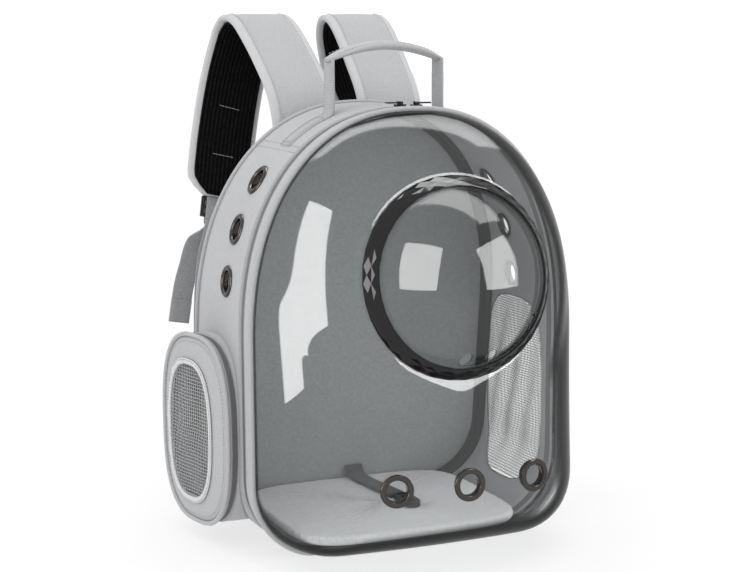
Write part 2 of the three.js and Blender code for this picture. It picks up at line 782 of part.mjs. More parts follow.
addPiece('pocket_zip', pocketZip(), ZIP_GREY);
addPiece(
  'pocket_rim',
  pocketStrip(0, POCKET_WALL, -POCKET_WALL - POCKET_RIM_DEPTH, -POCKET_WALL),
  LIGHT_FABRIC,
);

function pocketPiping() {
  const rings = [];
  for (let i = 0; i < PIPING_SIDES; i++) {
    const turn = (i / PIPING_SIDES) * 2 * Math.PI;
    const margin = -POCKET_PIPING * Math.cos(turn);
    rings.push(pocketRing(margin, SEAM_GAP + POCKET_PIPING * (1 + Math.sin(turn)) - POCKET_WALL));
  }
  return skin(rings, true);
}

addPiece('pocket_piping', pocketPiping(), LIGHT_FABRIC);

const faceMargin = POCKET_PIPING + SEAM_GAP;
const windowLoop = (margin) => {
  const { across, up, halfWidth, halfHeight, power } = POCKET_WINDOW;
  return roundedLoop(halfWidth + margin, halfHeight + margin, power, 24)
    .map((p) => new THREE.Vector2(across + p.x, up + p.y));
};
const windowRing = (margin, out) => windowLoop(margin).map((p) => pocketPoint(p.x, p.y, out));

addPiece('pocket_face', skin([
  pocketRing(faceMargin, 0),
  windowRing(0, 0),
  windowRing(0, -POCKET_WALL + SEAM_GAP),
  pocketRing(faceMargin, -POCKET_WALL + SEAM_GAP),
], true), LIGHT_FABRIC);
addPiece('pocket_window_tape', skin([
  windowRing(0, SEAM_GAP),
  windowRing(POCKET_TAPE_WIDTH, SEAM_GAP),
  windowRing(POCKET_TAPE_WIDTH, SEAM_GAP + POCKET_TAPE),
  windowRing(0, SEAM_GAP + POCKET_TAPE),
], true), LIGHT_FABRIC);
addPiece('pocket_mesh', skin([
  windowRing(-SEAM_GAP, -SEAM_GAP),
  windowRing(-SEAM_GAP, -SEAM_GAP - MESH_SHEET),
], false), NET_GREY);

// Flat bands: straps, webbing and tails

// Sections carried along a route, as close together as its points lie
function band(route, { width, thickness, offset = 0, tip = 0 }) {
  const curve = new THREE.CatmullRomCurve3(route, false, 'centripetal');
  const stations = Math.round(STATIONS_PER_POINT * (route.length - 1));
  const rings = [];
  for (let i = 0; i <= stations; i++) {
    const { centre, wide, thick } = bandFrame(curve, i / stations);
    const leftOver = tip > 0 ? Math.min(centre.distanceTo(route[route.length - 1]) / tip, 1) : 1;
    const half = (width / 2) * Math.max(Math.sqrt(1 - (1 - leftOver) ** 2), TIP_SHARE);
    const edge = Math.min(thickness / 2, BAND_BEVEL);
    const section = [
      [half, 0],
      [half - edge, thickness / 2],
      [edge - half, thickness / 2],
      [-half, 0],
      [edge - half, -thickness / 2],
      [half - edge, -thickness / 2],
    ];
    rings.push(section.map(([u, v]) => (
      centre.clone().addScaledVector(wide, u).addScaledVector(thick, v + offset)
    )));
  }
  return skin(rings, false);
}

// Routes as distance outwards from the middle, depth behind the back's sewn face, and height
const strapSeat = BACK_PADDING + STRAP_THICKNESS / 2 + 3 * SEAM_GAP;
const STRAPS = {
  left: {
    strap: [
      [46, strapSeat, 372], [47, strapSeat, 390], [48, 30.9, 424],
      [50, 70, 458], [53, 114.7, 489], [54, 134.9, 499], [56, 151.4, 503], [58, 164.9, 499],
      [61, 171.4, 487], [66, 170.4, 470], [78, 159.1, 434], [95, 133.2, 378], [111, 101, 318],
    ],
    webbing: [[128, 78, 258], [139, 54, 205], [144, 30, 150], [143, 15.8, 115]],
    tail: [[134, 98, 272], [142, 97, 248], [149, 93, 226], [156, 87, 188]],
  },
  right: {
    strap: [
      [46, strapSeat, 372], [47, strapSeat, 390], [48, 30.9, 424],
      [50, 70, 458], [53, 114.7, 489], [54, 134.9, 499], [54, 151.4, 503], [55, 164.9, 499],
      [56, 171.4, 487], [58, 170.4, 470], [64, 159.1, 434], [80, 133.2, 385], [97, 103.6, 330],
    ],
    webbing: [[114, 82.4, 270], [131, 55.2, 210], [143, 30, 150], [143, 15.8, 115]],
    tail: [[113, 99.6, 280], [121, 98, 250], [127, 94.4, 222], [130, 88.8, 190]],
  },
};

// A left-hand body, or its mirror image for the right-hand side
function onSide(name, geometry) {
  return name === 'left' ? geometry : toGeometry(toSolid(geometry.scale(-1, 1, 1)));
}

// Place on a band's route with the band's own directions: along it, across it and through it
function bandFrame(curve, share) {
  const along = curve.getTangent(share);
  const wide = vec(1, 0, 0).addScaledVector(along, -along.x).normalize();
  return { centre: curve.getPoint(share), along, wide, thick: along.clone().cross(wide) };
}

// Plate with two slots that the webbing runs through
function glidePlate() {
  const { width, height, thickness, bar } = GLIDE;
  const rectangle = (kind, w, h, up) => new kind([
    new THREE.Vector2(-w / 2, up - h / 2), new THREE.Vector2(w / 2, up - h / 2),
    new THREE.Vector2(w / 2, up + h / 2), new THREE.Vector2(-w / 2, up + h / 2),
  ]);
  const plate = rectangle(THREE.Shape, width, height, 0);
  const slot = (height - 3 * bar) / 2;
  [-1, 1].forEach((side) => {
    plate.holes.push(rectangle(THREE.Path, width - 2 * bar, slot, (side * (slot + bar)) / 2));
  });
  return new THREE.ExtrudeGeometry(plate, { depth: thickness, bevelEnabled: false })
    .translate(0, 0, -thickness / 2);
}

Object.entries(STRAPS).forEach(([name, routes]) => {
  const points = (list) => list.map(([out, behind, height]) => vec(-out, backDepth(height) + behind, height));
  const lay = (route, options, finish, node) => {
    addPiece(`${name}_${node}`, onSide(name, band(route, options)), finish);
  };
  const strap = points(routes.strap);
  const tip = bandFrame(new THREE.CatmullRomCurve3(strap, false, 'centripetal'), 1);
  const beyondTip = (along, through) => tip.centre.clone()
    .addScaledVector(tip.along, along)
    .addScaledVector(tip.thick, -through);
  const glideOut = WEBBING / 2 + LAYER_GAP + GLIDE.thickness / 2;
  const tailOut = glideOut + GLIDE.thickness / 2 + LAYER_GAP + WEBBING / 2;
  const foot = vec(-WEBBING_FOOT.out, backDepth(WEBBING_FOOT.height) + BACK_PADDING, WEBBING_FOOT.height);
  foot.y += WEBBING / 2 + 2 * SEAM_GAP;
  const straight = (start, through) => (
    [start, GLIDE.height + 4 * SEAM_GAP, 1.5 * GLIDE.height].map((along) => beyondTip(along, through))
  );
  const webbing = [...straight(2 * SEAM_GAP, 0), ...points(routes.webbing), foot];
  const tail = [...straight(GLIDE.bar, tailOut), ...points(routes.tail)];
  const meshOffset = (STRAP_THICKNESS + AIR_MESH) / 2 + LAYER_GAP;
  const airMesh = { width: AIR_MESH_WIDTH, thickness: AIR_MESH, offset: meshOffset, tip: STRAP_TIP };
  const ribbon = { width: WEBBING_WIDTH, thickness: WEBBING };
  lay(strap, { width: STRAP_WIDTH, thickness: STRAP_THICKNESS, tip: STRAP_TIP }, LIGHT_FABRIC, 'strap_pad');
  lay(strap, airMesh, BLACK_MESH, 'strap_mesh');
  lay(webbing, ribbon, WEBBING_GREY, 'webbing');
  lay(tail, ribbon, WEBBING_GREY, 'strap_tail');
  const turn = new THREE.Matrix4().makeBasis(tip.wide, tip.along, tip.wide.clone().cross(tip.along));
  const glide = glidePlate().applyMatrix4(turn);
  const place = beyondTip(GLIDE.height / 2 + 2 * SEAM_GAP, glideOut);
  glide.translate(place.x, place.y, place.z);
  addPiece(`${name}_glide`, onSide(name, toGeometry(toSolid(glide))), BLACK_GLOSS);
});

// Carry handle

function handleWebbing(side) {
  const { width, thickness } = HANDLE_WEBBING;
  const lift = thickness / 2 + 2 * SEAM_GAP;
  const steps = 4;
  const spine = [[HANDLE_SPAN, HANDLE_SHOULDER - GRIP_THICKNESS / 2 - SEAM_GAP]];
  spine.push([HANDLE_SPAN, archHeight(HANDLE_SPAN) + lift + 6]);
  spine.push([HANDLE_SPAN + 2, archHeight(HANDLE_SPAN + 2) + lift + 1]);
  for (let i = 1; i <= steps; i++) {
    const x = HANDLE_SPAN + 2 + ((ANCHOR_REACH - 2) * i) / steps;
    spine.push([x, archHeight(x) + lift]);
  }
  const points = spine.map(([x, z]) => vec(side * x, HANDLE_DEPTH, z));
  const rings = points.map((point, i) => {
    const before = points[Math.max(i - 1, 0)];
    const after = points[Math.min(i + 1, points.length - 1)];
    const tangent = after.clone().sub(before).normalize();
    const thick = vec(0, 1, 0).cross(tangent);
    return [[1, 1], [1, -1], [-1, -1], [-1, 1]].map(([u, v]) => (
      point.clone().add(vec(0, (u * width) / 2, 0)).addScaledVector(thick, (v * thickness) / 2)
    ));
  });
  return skin(rings, false);
}

function handleGrip() {
  const stations = 10;
  const reach = HANDLE_SPAN + HANDLE_WEBBING.thickness;
  const crest = HANDLE_TOP - GRIP_THICKNESS / 2;
  const rings = [];
  for (let i = 0; i <= stations; i++) {
    const share = (2 * i) / stations - 1;
    const fade = Math.max(Math.sqrt(1 - Math.abs(share) ** 6), 0.5);
    const z = mix(crest, HANDLE_SHOULDER, share * share);
    const section = [];
    for (let k = 0; k < 8; k++) {
      const turn = ((k + 0.5) / 8) * 2 * Math.PI;
      section.push(vec(
        share * reach,
        HANDLE_DEPTH + (GRIP_WIDTH / 2) * fade * Math.cos(turn),
        z + (GRIP_THICKNESS / 2) * Math.sin(turn),
      ));
    }
    rings.push(section);
  }
  return skin(rings, false);
}

addPiece('handle_grip', handleGrip(), LIGHT_FABRIC);
addPiece('left_handle_webbing', handleWebbing(-1), WEBBING_GREY);
addPiece('right_handle_webbing', handleWebbing(1), WEBBING_GREY);

// Zip sliders with their pull tabs on the arch top

const sliderDepth = zipFront + ZIP_DEPTH / 2;
const earTop = SLIDER.thickness + PULL.barrel + PULL.clearance;

function sliderBody() {
  const { length, width, thickness, earLength, earWidth } = SLIDER;
  const earHeight = earTop + PULL.barrel;
  const earPlace = PULL.barrelLength / 2 + PULL.clearance + earWidth / 2;
  return join([
    block(vec(length, width, thickness), vec(0, 0, thickness / 2)),
    block(vec(earLength, earWidth, earHeight), vec(0, earPlace, earHeight / 2)),
    block(vec(earLength, earWidth, earHeight), vec(0, -earPlace, earHeight / 2)),
  ]);
}

// Pull tab lying towards +X from its barrel, which lies between the slider's ears
function pullTab() {
  const { length, width, thickness, barrel, barrelLength } = PULL;
  const neck = SLIDER.earLength;
  return join([
    new THREE.CylinderGeometry(barrel, barrel, barrelLength, 8),
    block(vec(neck + 1, barrelLength, thickness), vec((neck + 1) / 2, 0, 0)),
    block(vec(length - neck, width, thickness), vec((length + neck) / 2, 0, 0)),
  ]);
}

// Highest point of the zip's teeth under a slider
function teethLevel(place) {
  const caster = new THREE.Raycaster();
  const heights = [-1, -0.5, 0, 0.5, 1].map((share) => {
    const x = place + (share * SLIDER.length) / 2;
    caster.set(vec(x, sliderDepth, 2 * BAG_HEIGHT), vec(0, 0, -1));
    return caster.intersectObject(zipMesh)[0].point.z;
  });
  return Math.max(...heights);
}

SLIDER_PLACES.forEach((place, i) => {
  const seat = teethLevel(place) + SEAM_GAP;
  const name = i === 0 ? 'left' : 'right';
  addPiece(`${name}_zip_slider`, sliderBody().translate(place, sliderDepth, seat), BLACK_GLOSS);
  addPiece(`${name}_zip_pull`, onSide(i === 0 ? 'right' : 'left', pullTab())
    .translate(place, sliderDepth, seat + earTop), BLACK_GLOSS);
});

// Floor board, fleece mat and safety leash inside

const innerInset = WALL + SEAM_GAP;
const boardFront = FLANGE_DEPTH + SEAM_GAP;

// Half width of the cabin at a height near the floor
function floorReach(height, inset) {
  const ring = outlineRing(inset, () => 0);
  for (let i = 0; i < ring.length / 2; i++) {
    const above = ring[i + 1];
    if (above.z >= height) {
      const below = ring[i];
      return mix(below.x, above.x, (height - below.z) / (above.z - below.z));
    }
  }
  return HALF_WIDTH - inset;
}

function floorBoard() {
  const ring = outlineRing(innerInset, () => 0).slice(0, outline.length / 2);
  const right = ring.filter((p) => p.z < BOARD_TOP).map((p) => new THREE.Vector2(p.x, p.z));
  right.push(new THREE.Vector2(floorReach(BOARD_TOP, innerInset), BOARD_TOP));
  const left = right.slice(1).reverse().map((p) => new THREE.Vector2(-p.x, p.y));
  const length = backDepth(BOARD_TOP) - SEAM_GAP - boardFront;
  return new THREE.ExtrudeGeometry(new THREE.Shape([...right, ...left]), { depth: length, bevelEnabled: false })
    .rotateX(Math.PI / 2)
    .translate(0, boardFront + length, 0);
}

addPiece('floor_board', toGeometry(toSolid(floorBoard())), INNER_FABRIC);

const matFoot = BOARD_TOP + SEAM_GAP;
const matTop = matFoot + MAT_THICKNESS;
const matBack = backDepth(matTop) - 2 * SEAM_GAP;

function fleeceMat() {
  const halfAcross = floorReach(matFoot, innerInset + CLEAR_WALL) - 2 * SEAM_GAP;
  const halfDeep = (matBack - MAT_FRONT) / 2;
  const middle = MAT_FRONT + halfDeep;
  const layer = (margin, height) => roundedLoop(halfAcross - margin, halfDeep - margin, MAT_POWER, 24)
    .map((p) => vec(p.x, middle + p.y, height));
  return skin([
    layer(MAT_THICKNESS / 4, matFoot),
    layer(0, mix(matFoot, matTop, 0.5)),
    layer(MAT_THICKNESS / 3, matTop),
  ], false);
}

addPiece('floor_mat', fleeceMat(), FLEECE);

const leashHeight = matTop + 2 * SEAM_GAP + LEASH_THICKNESS / 2;
const leashBack = backDepth(leashHeight);
const leashRise = leashHeight + LEASH_RUN.rise;
const leashEnd = leashBack - LEASH_RUN.end;
const leashRoute = [
  vec(LEASH_PLACE, backDepth(leashRise) - 2 * SEAM_GAP - LEASH_THICKNESS / 2, leashRise),
  vec(LEASH_PLACE, leashBack - LEASH_RUN.fold, leashHeight + LEASH_THICKNESS),
  vec(LEASH_PLACE + 0.1 * LEASH_RUN.drift, leashBack - LEASH_RUN.bends[0], leashHeight),
  vec(LEASH_PLACE + 0.5 * LEASH_RUN.drift, leashBack - LEASH_RUN.bends[1], leashHeight),
  vec(LEASH_PLACE + LEASH_RUN.drift, leashEnd, leashHeight),
];
addPiece('leash_strap', band(leashRoute, { width: LEASH_WIDTH, thickness: LEASH_THICKNESS }), WEBBING_GREY);

// Snap hook lying on the mat: a slot for the webbing and an open eye
function leashHook() {
  const { width, length, thickness, wall } = HOOK;
  const loop = (halfAcross, halfUp, up, power, count) => roundedLoop(halfAcross, halfUp, power, count)
    .map((p) => new THREE.Vector2(p.x, p.y + up));
  const shape = new THREE.Shape(loop(width / 2, length / 2, 0, 3, 20));
  const inner = width / 2 - wall;
  shape.holes.push(new THREE.Path(loop(inner, HOOK_SLOT / 2, length / 2 - wall - HOOK_SLOT / 2, 6, 8)));
  const eye = length - 3 * wall - HOOK_SLOT;
  shape.holes.push(new THREE.Path(loop(inner, eye / 2, wall + eye / 2 - length / 2, 2.4, 12)));
  const body = new THREE.ExtrudeGeometry(shape, { depth: thickness, bevelEnabled: false });
  const height = matTop + 2 * SEAM_GAP;
  return body.translate(LEASH_PLACE + LEASH_RUN.drift, leashEnd - 2 * SEAM_GAP - length / 2, height);
}

addPiece('leash_hook', toGeometry(toSolid(leashHook())), INNER_FABRIC);

export default root;
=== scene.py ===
import math

import bmesh
import bpy
import numpy as np
from mathutils import Matrix, Quaternion, Vector


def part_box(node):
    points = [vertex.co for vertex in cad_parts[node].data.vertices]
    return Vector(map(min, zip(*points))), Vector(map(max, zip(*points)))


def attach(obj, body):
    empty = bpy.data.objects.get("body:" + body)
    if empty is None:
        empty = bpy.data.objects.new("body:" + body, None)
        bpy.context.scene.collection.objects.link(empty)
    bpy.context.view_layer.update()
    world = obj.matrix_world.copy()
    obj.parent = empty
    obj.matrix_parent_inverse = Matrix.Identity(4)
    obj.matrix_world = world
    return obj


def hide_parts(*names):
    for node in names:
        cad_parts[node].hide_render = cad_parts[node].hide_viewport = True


# Looks of the clear-front pet carrier backpack. Lengths are millimetres and depths are counted
# from the front seam, as in the part's source; to_frame turns them into the frame's metres.

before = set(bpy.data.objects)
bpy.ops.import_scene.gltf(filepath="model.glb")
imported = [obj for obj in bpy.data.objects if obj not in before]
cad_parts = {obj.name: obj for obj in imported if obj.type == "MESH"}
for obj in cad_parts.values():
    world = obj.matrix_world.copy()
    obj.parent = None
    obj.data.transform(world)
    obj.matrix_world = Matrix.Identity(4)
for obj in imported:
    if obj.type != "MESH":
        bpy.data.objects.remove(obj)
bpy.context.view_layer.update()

SEAM_DEPTH = 96
MM = 0.001

# Bag outline
BAG_HEIGHT = 420
HALF_WIDTH = 164
CORNER_RADIUS = 72
SHOULDER_HEIGHT = 202
ARCH_POWER = 2.27
BASE_DEPTH = 192
BACK_LEAN = 0.12
WALL = 3
SEAM_GAP = 0.3

# Front edge
PIPING_RADIUS = 2.5
PIPING_OUT = 0.2
BAND_DEPTH = 17
ZIP_DEPTH = 9.8
ZIP_TAPE = 2
ZIP_INSET = 0.8
BAND_FRONT = 2 * PIPING_RADIUS + 2 * SEAM_GAP
ZIP_FRONT = BAND_FRONT + BAND_DEPTH + SEAM_GAP
GUSSET_FRONT = ZIP_FRONT + ZIP_DEPTH + SEAM_GAP
BACK_PIPING_ROOM = 2 * PIPING_RADIUS + 2 * SEAM_GAP

# Clear front panel
CLEAR_WALL = 1.5
PANEL_INSET = 1.6
FLANGE_DEPTH = 14
FACE_DEPTH = 92
FACE_LEAN = math.radians(8.9)
EDGE_ZONE = 85
EDGE_POWER = 1.7
CROWN_RADIUS = 360

# Bubble window
BUBBLE_HEIGHT = 273.4
RING_RADIUS = 92.6
RING_RIM_RADIUS = 83
RING_HEIGHT = 15.4
RING_DIAMONDS = 36
DOME_RADIUS = 81.2
DOME_RISE = 48
DOME_WALL = 2
DOME_FLANGE = 3
BUBBLE_CLEARANCE = 0.6
VENT_RADIUS = 5.5
VENT_ANGLES = (-97, -77, -36)
VENT_REACH = 73

# Grommets
GROMMET_RADIUS = 15.5
GROMMET_BORE = 10
GROMMET_HOLE = 11.5

# Flank windows
WINDOWS = {
    -1: {"depth": 99, "height": 112, "half_depth": 46, "half_height": 76},
    1: {"depth": 104, "height": 122, "half_depth": 62, "half_height": 96},
}
WINDOW_POWER = 3.4

# Side pocket
POCKET_DEPTH = 98.5
POCKET_HEIGHT = 111
POCKET_HALF_DEPTH = 60.5
POCKET_HALF_HEIGHT = 92.3
POCKET_POWER = 2.75
POCKET_STAND = 24.6
POCKET_TURN = math.radians(12)
POCKET_WALL = 2.4
POCKET_PIPING = 2.2
POCKET_ZIP_DEPTH = 5.5
POCKET_RIM_DEPTH = 2
POCKET_WINDOW = {"across": 11, "up": -4, "half_width": 37, "half_height": 66.5, "power": 2.6}
POCKET_TAPE_WIDTH = 5
POCKET_TAPE = 1.2

# Back panel
BACK_PADDING = 10
BACK_EDGE = 4

# Carry handle
HANDLE_SPAN = 57
HANDLE_DEPTH = 71
HANDLE_TOP = 482
HANDLE_SHOULDER = 464
GRIP_WIDTH = 30
GRIP_THICKNESS = 9
HANDLE_WEBBING_WIDTH = 24
HANDLE_WEBBING = 2
ANCHOR_REACH = 46

# Shoulder straps
STRAP_WIDTH = 70
STRAP_THICKNESS = 8
AIR_MESH_WIDTH = 58
AIR_MESH = 3
STRAP_TIP = 24
TIP_SHARE = 0.45
LAYER_GAP = 0.5
WEBBING_WIDTH = 22
WEBBING = 1.8
BINDING_WIDTH = 10
GLIDE_HEIGHT = 22
GLIDE_THICKNESS = 3
GLIDE_BAR = 4
WEBBING_FOOT = (143, 96)

# Floor mat and leash
BOARD_TOP = 10.7
MAT_THICKNESS = 9
MAT_POWER = 5
LEASH_WIDTH = 20
LEASH_THICKNESS = 3
LEASH_PLACE = 12
LEASH_RUN = {"rise": 10, "fold": 8, "bends": (24, 59), "end": 101, "drift": 10}

# Photograph's camera, fitted to the outline, the ring, the grommets and the pocket
CAMERA_PLACE = Vector((-0.6770, -1.5852, 0.5071))
CAMERA_AZIMUTH = math.radians(-24.45)
CAMERA_ELEVATION = math.radians(10.63)
FOCAL_PIXELS = 1741.9
PRINCIPAL = (414.65, 340.7)
IMAGE = (750, 572)
SENSOR = 36

# Studio
ROOM_LEVEL = 1.22
MIRRORED_LEVEL = 0.6
FLOOR_GLOW = 0.65
MIRRORED_GLOW = 0.35
SOFTBOX_REACH = 2.0
SOFTBOX_AIM = (0, -0.1, 0.27)

TAU = 2 * math.pi


# Mesh making

def to_frame(points):
    """Millimetres with depth from the front seam, as the frame's metres."""
    placed = np.array(points, float).reshape(-1, 3)
    return (placed - np.array([0, SEAM_DEPTH, 0])) * MM


def mix(a, b, share):
    return a + (b - a) * share


class Batch:
    """Vertices and faces of one piece, gathered before its mesh is made."""

    def __init__(self):
        self.vertices = []
        self.faces = []
        self.slots = []
        self.uvs = []
        self.count = 0

    def add(self, vertices, faces, slot=0, uvs=None):
        vertices = np.array(vertices, float).reshape(-1, 3)
        self.vertices.append(vertices)
        for i, face in enumerate(faces):
            self.faces.append([v + self.count for v in face])
            self.slots.append(slot[i] if isinstance(slot, (list, tuple, np.ndarray)) else slot)
        flat = np.zeros((len(vertices), 2)) if uvs is None else np.array(uvs, float).reshape(-1, 2)
        self.uvs.append(flat)
        self.count += len(vertices)

    def build(self, name, materials, body="bag", smooth=True, slot=None):
        mesh = bpy.data.meshes.new(name)
        mesh.from_pydata(to_frame(np.concatenate(self.vertices)), [], self.faces)
        mesh.polygons.foreach_set("material_index", self.slots)
        mesh.polygons.foreach_set("use_smooth", [smooth] * len(mesh.polygons))
        layer = mesh.uv_layers.new(name="UVMap")
        places = np.concatenate(self.uvs)
        loops = np.zeros(len(mesh.loops), int)
        mesh.loops.foreach_get("vertex_index", loops)
        layer.data.foreach_set("uv", (places[loops] * MM).ravel())
        outward(mesh)
        for material in materials:
            mesh.materials.append(material)
        piece = bpy.data.objects.new(name, mesh)
        bpy.context.scene.collection.objects.link(piece)
        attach(piece, body)
        return piece


def outward(mesh):
    shape = bmesh.new()
    shape.from_mesh(mesh)
    bmesh.ops.recalc_face_normals(shape, faces=shape.faces)
    shape.to_mesh(mesh)
    shape.free()


def grid_faces(rows, columns, closed_rows=False, closed_columns=True):
    faces = []
    for r in range(rows if closed_rows else rows - 1):
        below = (r + 1) % rows
        for c in range(columns if closed_columns else columns - 1):
            beside = (c + 1) % columns
            corners = ((r, c), (r, beside), (below, beside), (below, c))
            faces.append([row * columns + column for row, column in corners])
    return faces


def skin(batch, rings, closed_row=False, slots=0, uvs=None):
    """Skin over rings with equal point counts; open rows are closed with a face at each end."""
    rings = [np.array(ring, float) for ring in rings]
    rows, columns = len(rings), len(rings[0])
    faces = grid_faces(rows, columns, closed_row)
    each = [slots[i // columns] if isinstance(slots, (list, tuple)) else slots for i in range(len(faces))]
    if not closed_row:
        faces.append(list(range(columns))[::-1])
        faces.append([(rows - 1) * columns + c for c in range(columns)])
        each += [each[0], each[-1]]
    batch.add(np.concatenate(rings), faces, each, uvs)


def cut_away(piece, cutters):
    """Cuts the tools' shapes out of a piece for good and removes the tools."""
    for cutter in cutters:
        modifier = piece.modifiers.new("cut", "BOOLEAN")
        modifier.operation = "DIFFERENCE"
        modifier.solver = "EXACT"
        modifier.object = cutter
    bpy.context.view_layer.update()
    graph = bpy.context.evaluated_depsgraph_get()
    finished = bpy.data.meshes.new_from_object(piece.evaluated_get(graph))
    piece.modifiers.clear()
    old = piece.data
    piece.data = finished
    bpy.data.meshes.remove(old)
    for cutter in cutters:
        bpy.data.objects.remove(cutter)


def cylinder_tool(centre, axis, radius, length, sides=40):
    """Cylinder in the frame's metres, used only to cut."""
    shape = bmesh.new()
    bmesh.ops.create_cone(shape, cap_ends=True, segments=sides, radius1=radius, radius2=radius, depth=length)
    turn = Vector((0, 0, 1)).rotation_difference(Vector(axis)).to_matrix().to_4x4()
    shape.transform(Matrix.Translation(centre) @ turn)
    mesh = bpy.data.meshes.new("tool")
    shape.to_mesh(mesh)
    shape.free()
    tool = bpy.data.objects.new("tool", mesh)
    bpy.context.scene.collection.objects.link(tool)
    return tool


def tube_rings(points, radius, sides, closed, squash=1.0):
    """Rings of a tube along points, with its frame carried along without a twist."""
    points = np.array(points, float)
    count = len(points)
    rings = []
    normal = None
    for i in range(count):
        if closed:
            tangent = points[(i + 1) % count] - points[i - 1]
        else:
            tangent = points[min(i + 1, count - 1)] - points[max(i - 1, 0)]
        tangent = tangent / np.linalg.norm(tangent)
        if normal is None:
            helper = np.array([0.0, 0.0, 1.0]) if abs(tangent[2]) < 0.9 else np.array([0.0, 1.0, 0.0])
            normal = np.cross(tangent, helper)
        normal = normal - tangent * normal.dot(tangent)
        normal = normal / np.linalg.norm(normal)
        side = np.cross(tangent, normal)
        angles = np.arange(sides) / sides * TAU
        rings.append(points[i] + radius * (
            np.outer(np.cos(angles), normal) + squash * np.outer(np.sin(angles), side)
        ))
    return rings


def add_tube(batch, points, radius, sides=6, closed=False, slot=0):
    skin(batch, tube_rings(points, radius, sides, closed), closed, slot)


# Stitches

STITCH_PITCH = 3.6
STITCH_LENGTH = 2.6
STITCH_RADIUS = 0.34


def stitch_template():
    """A stitch along +X with its ends dipping into the cloth."""
    stations = ((-0.5, 0.35, -0.5), (-0.3, 1, 0.25), (0.3, 1, 0.25), (0.5, 0.35, -0.5))
    rings = []
    for along, width, lift in stations:
        rings.append([
            [along * STITCH_LENGTH, STITCH_RADIUS * width * math.cos(turn),
             STITCH_RADIUS * (width * math.sin(turn) + lift)]
            for turn in (TAU * k / 5 for k in range(5))
        ])
    return np.array(rings).reshape(-1, 3)


def add_stitches(batch, points, normals, closed=False, slot=0, pitch=STITCH_PITCH):
    """A run of stitches along a line, on the side that its normals point to."""
    points = np.array(points, float)
    normals = np.array(normals, float)
    if closed:
        points = np.vstack([points, points[:1]])
        normals = np.vstack([normals, normals[:1]])
    steps = np.linalg.norm(np.diff(points, axis=0), axis=1)
    reach = np.concatenate([[0], np.cumsum(steps)])
    count = max(int(reach[-1] / pitch), 1)
    places = (np.arange(count) + 0.5) * reach[-1] / count
    along_line = lambda at, rows: np.stack([np.interp(at, reach, rows[:, k]) for k in range(3)], 1)
    centre = along_line(places, points)
    ahead = along_line(np.minimum(places + 0.5, reach[-1]), points)
    behind = along_line(np.maximum(places - 0.5, 0), points)
    up = along_line(places, normals)
    along = ahead - behind
    along /= np.linalg.norm(along, axis=1)[:, None]
    up -= along * np.sum(along * up, axis=1)[:, None]
    up /= np.linalg.norm(up, axis=1)[:, None]
    side = np.cross(up, along)
    template = stitch_template()
    faces = grid_faces(4, 5) + [[4, 3, 2, 1, 0], [15, 16, 17, 18, 19]]
    for i in range(count):
        placed = (centre[i] + np.outer(template[:, 0], along[i])
                  + np.outer(template[:, 1], side[i]) + np.outer(template[:, 2], up[i]))
        batch.add(placed, faces, slot)


# Bag outline, finer than the solids'

FINE = {"foot": 12, "corner": 14, "flank": 14, "arch": 56}


def fine_outline():
    """Points x, z and outward normals nx, nz once round from the foot's middle."""
    flat = HALF_WIDTH - CORNER_RADIUS
    rise = BAG_HEIGHT - SHOULDER_HEIGHT
    rows = [(flat * i / FINE["foot"], 0, 0, -1) for i in range(FINE["foot"] + 1)]
    for i in range(1, FINE["corner"] + 1):
        turn = math.pi / 2 * i / FINE["corner"]
        nx, nz = math.sin(turn), -math.cos(turn)
        rows.append((flat + CORNER_RADIUS * nx, CORNER_RADIUS * (1 + nz), nx, nz))
    for i in range(1, FINE["flank"] + 1):
        rows.append((HALF_WIDTH, mix(CORNER_RADIUS, SHOULDER_HEIGHT, i / FINE["flank"]), 1, 0))
    for i in range(1, FINE["arch"] + 1):
        turn = math.pi / 2 * i / FINE["arch"]
        across = max(math.cos(turn), 0) ** (2 / ARCH_POWER)
        up = math.sin(turn) ** (2 / ARCH_POWER)
        slope = Vector((across ** (ARCH_POWER - 1) / HALF_WIDTH, up ** (ARCH_POWER - 1) / rise)).normalized()
        rows.append((HALF_WIDTH * across, SHOULDER_HEIGHT + rise * up, slope.x, slope.y))
    rows += [(-x, z, -nx, nz) for x, z, nx, nz in reversed(rows[1:-1])]
    return np.array(rows)


OUTLINE = fine_outline()


def back_depth(z):
    return BASE_DEPTH - BACK_LEAN * z


def gusset_back(z):
    return back_depth(z) - BACK_PIPING_ROOM


def outline_ring(inset, depth, rows=OUTLINE):
    """Outline moved inwards by inset, at a depth that is a number or follows the height."""
    x = rows[:, 0] - rows[:, 2] * inset
    z = np.maximum(rows[:, 1] - rows[:, 3] * inset, 0)
    y = depth(z) if callable(depth) else np.full(len(rows), float(depth))
    return np.stack([x, y, z], 1)


def outline_normals(rows=OUTLINE):
    return np.stack([rows[:, 2], np.zeros(len(rows)), rows[:, 3]], 1)


def flank_reach(z):
    z = np.asarray(z, float)
    share = np.clip((z - SHOULDER_HEIGHT) / (BAG_HEIGHT - SHOULDER_HEIGHT), 0, 1)
    arch = HALF_WIDTH * (1 - share ** ARCH_POWER) ** (1 / ARCH_POWER)
    drop = np.clip(CORNER_RADIUS - z, 0, CORNER_RADIUS)
    foot = HALF_WIDTH - CORNER_RADIUS + np.sqrt(CORNER_RADIUS ** 2 - drop ** 2)
    return np.where(z > SHOULDER_HEIGHT, arch, foot)


def arch_height(x):
    rise = BAG_HEIGHT - SHOULDER_HEIGHT
    return SHOULDER_HEIGHT + rise * (1 - (abs(x) / HALF_WIDTH) ** ARCH_POWER) ** (1 / ARCH_POWER)


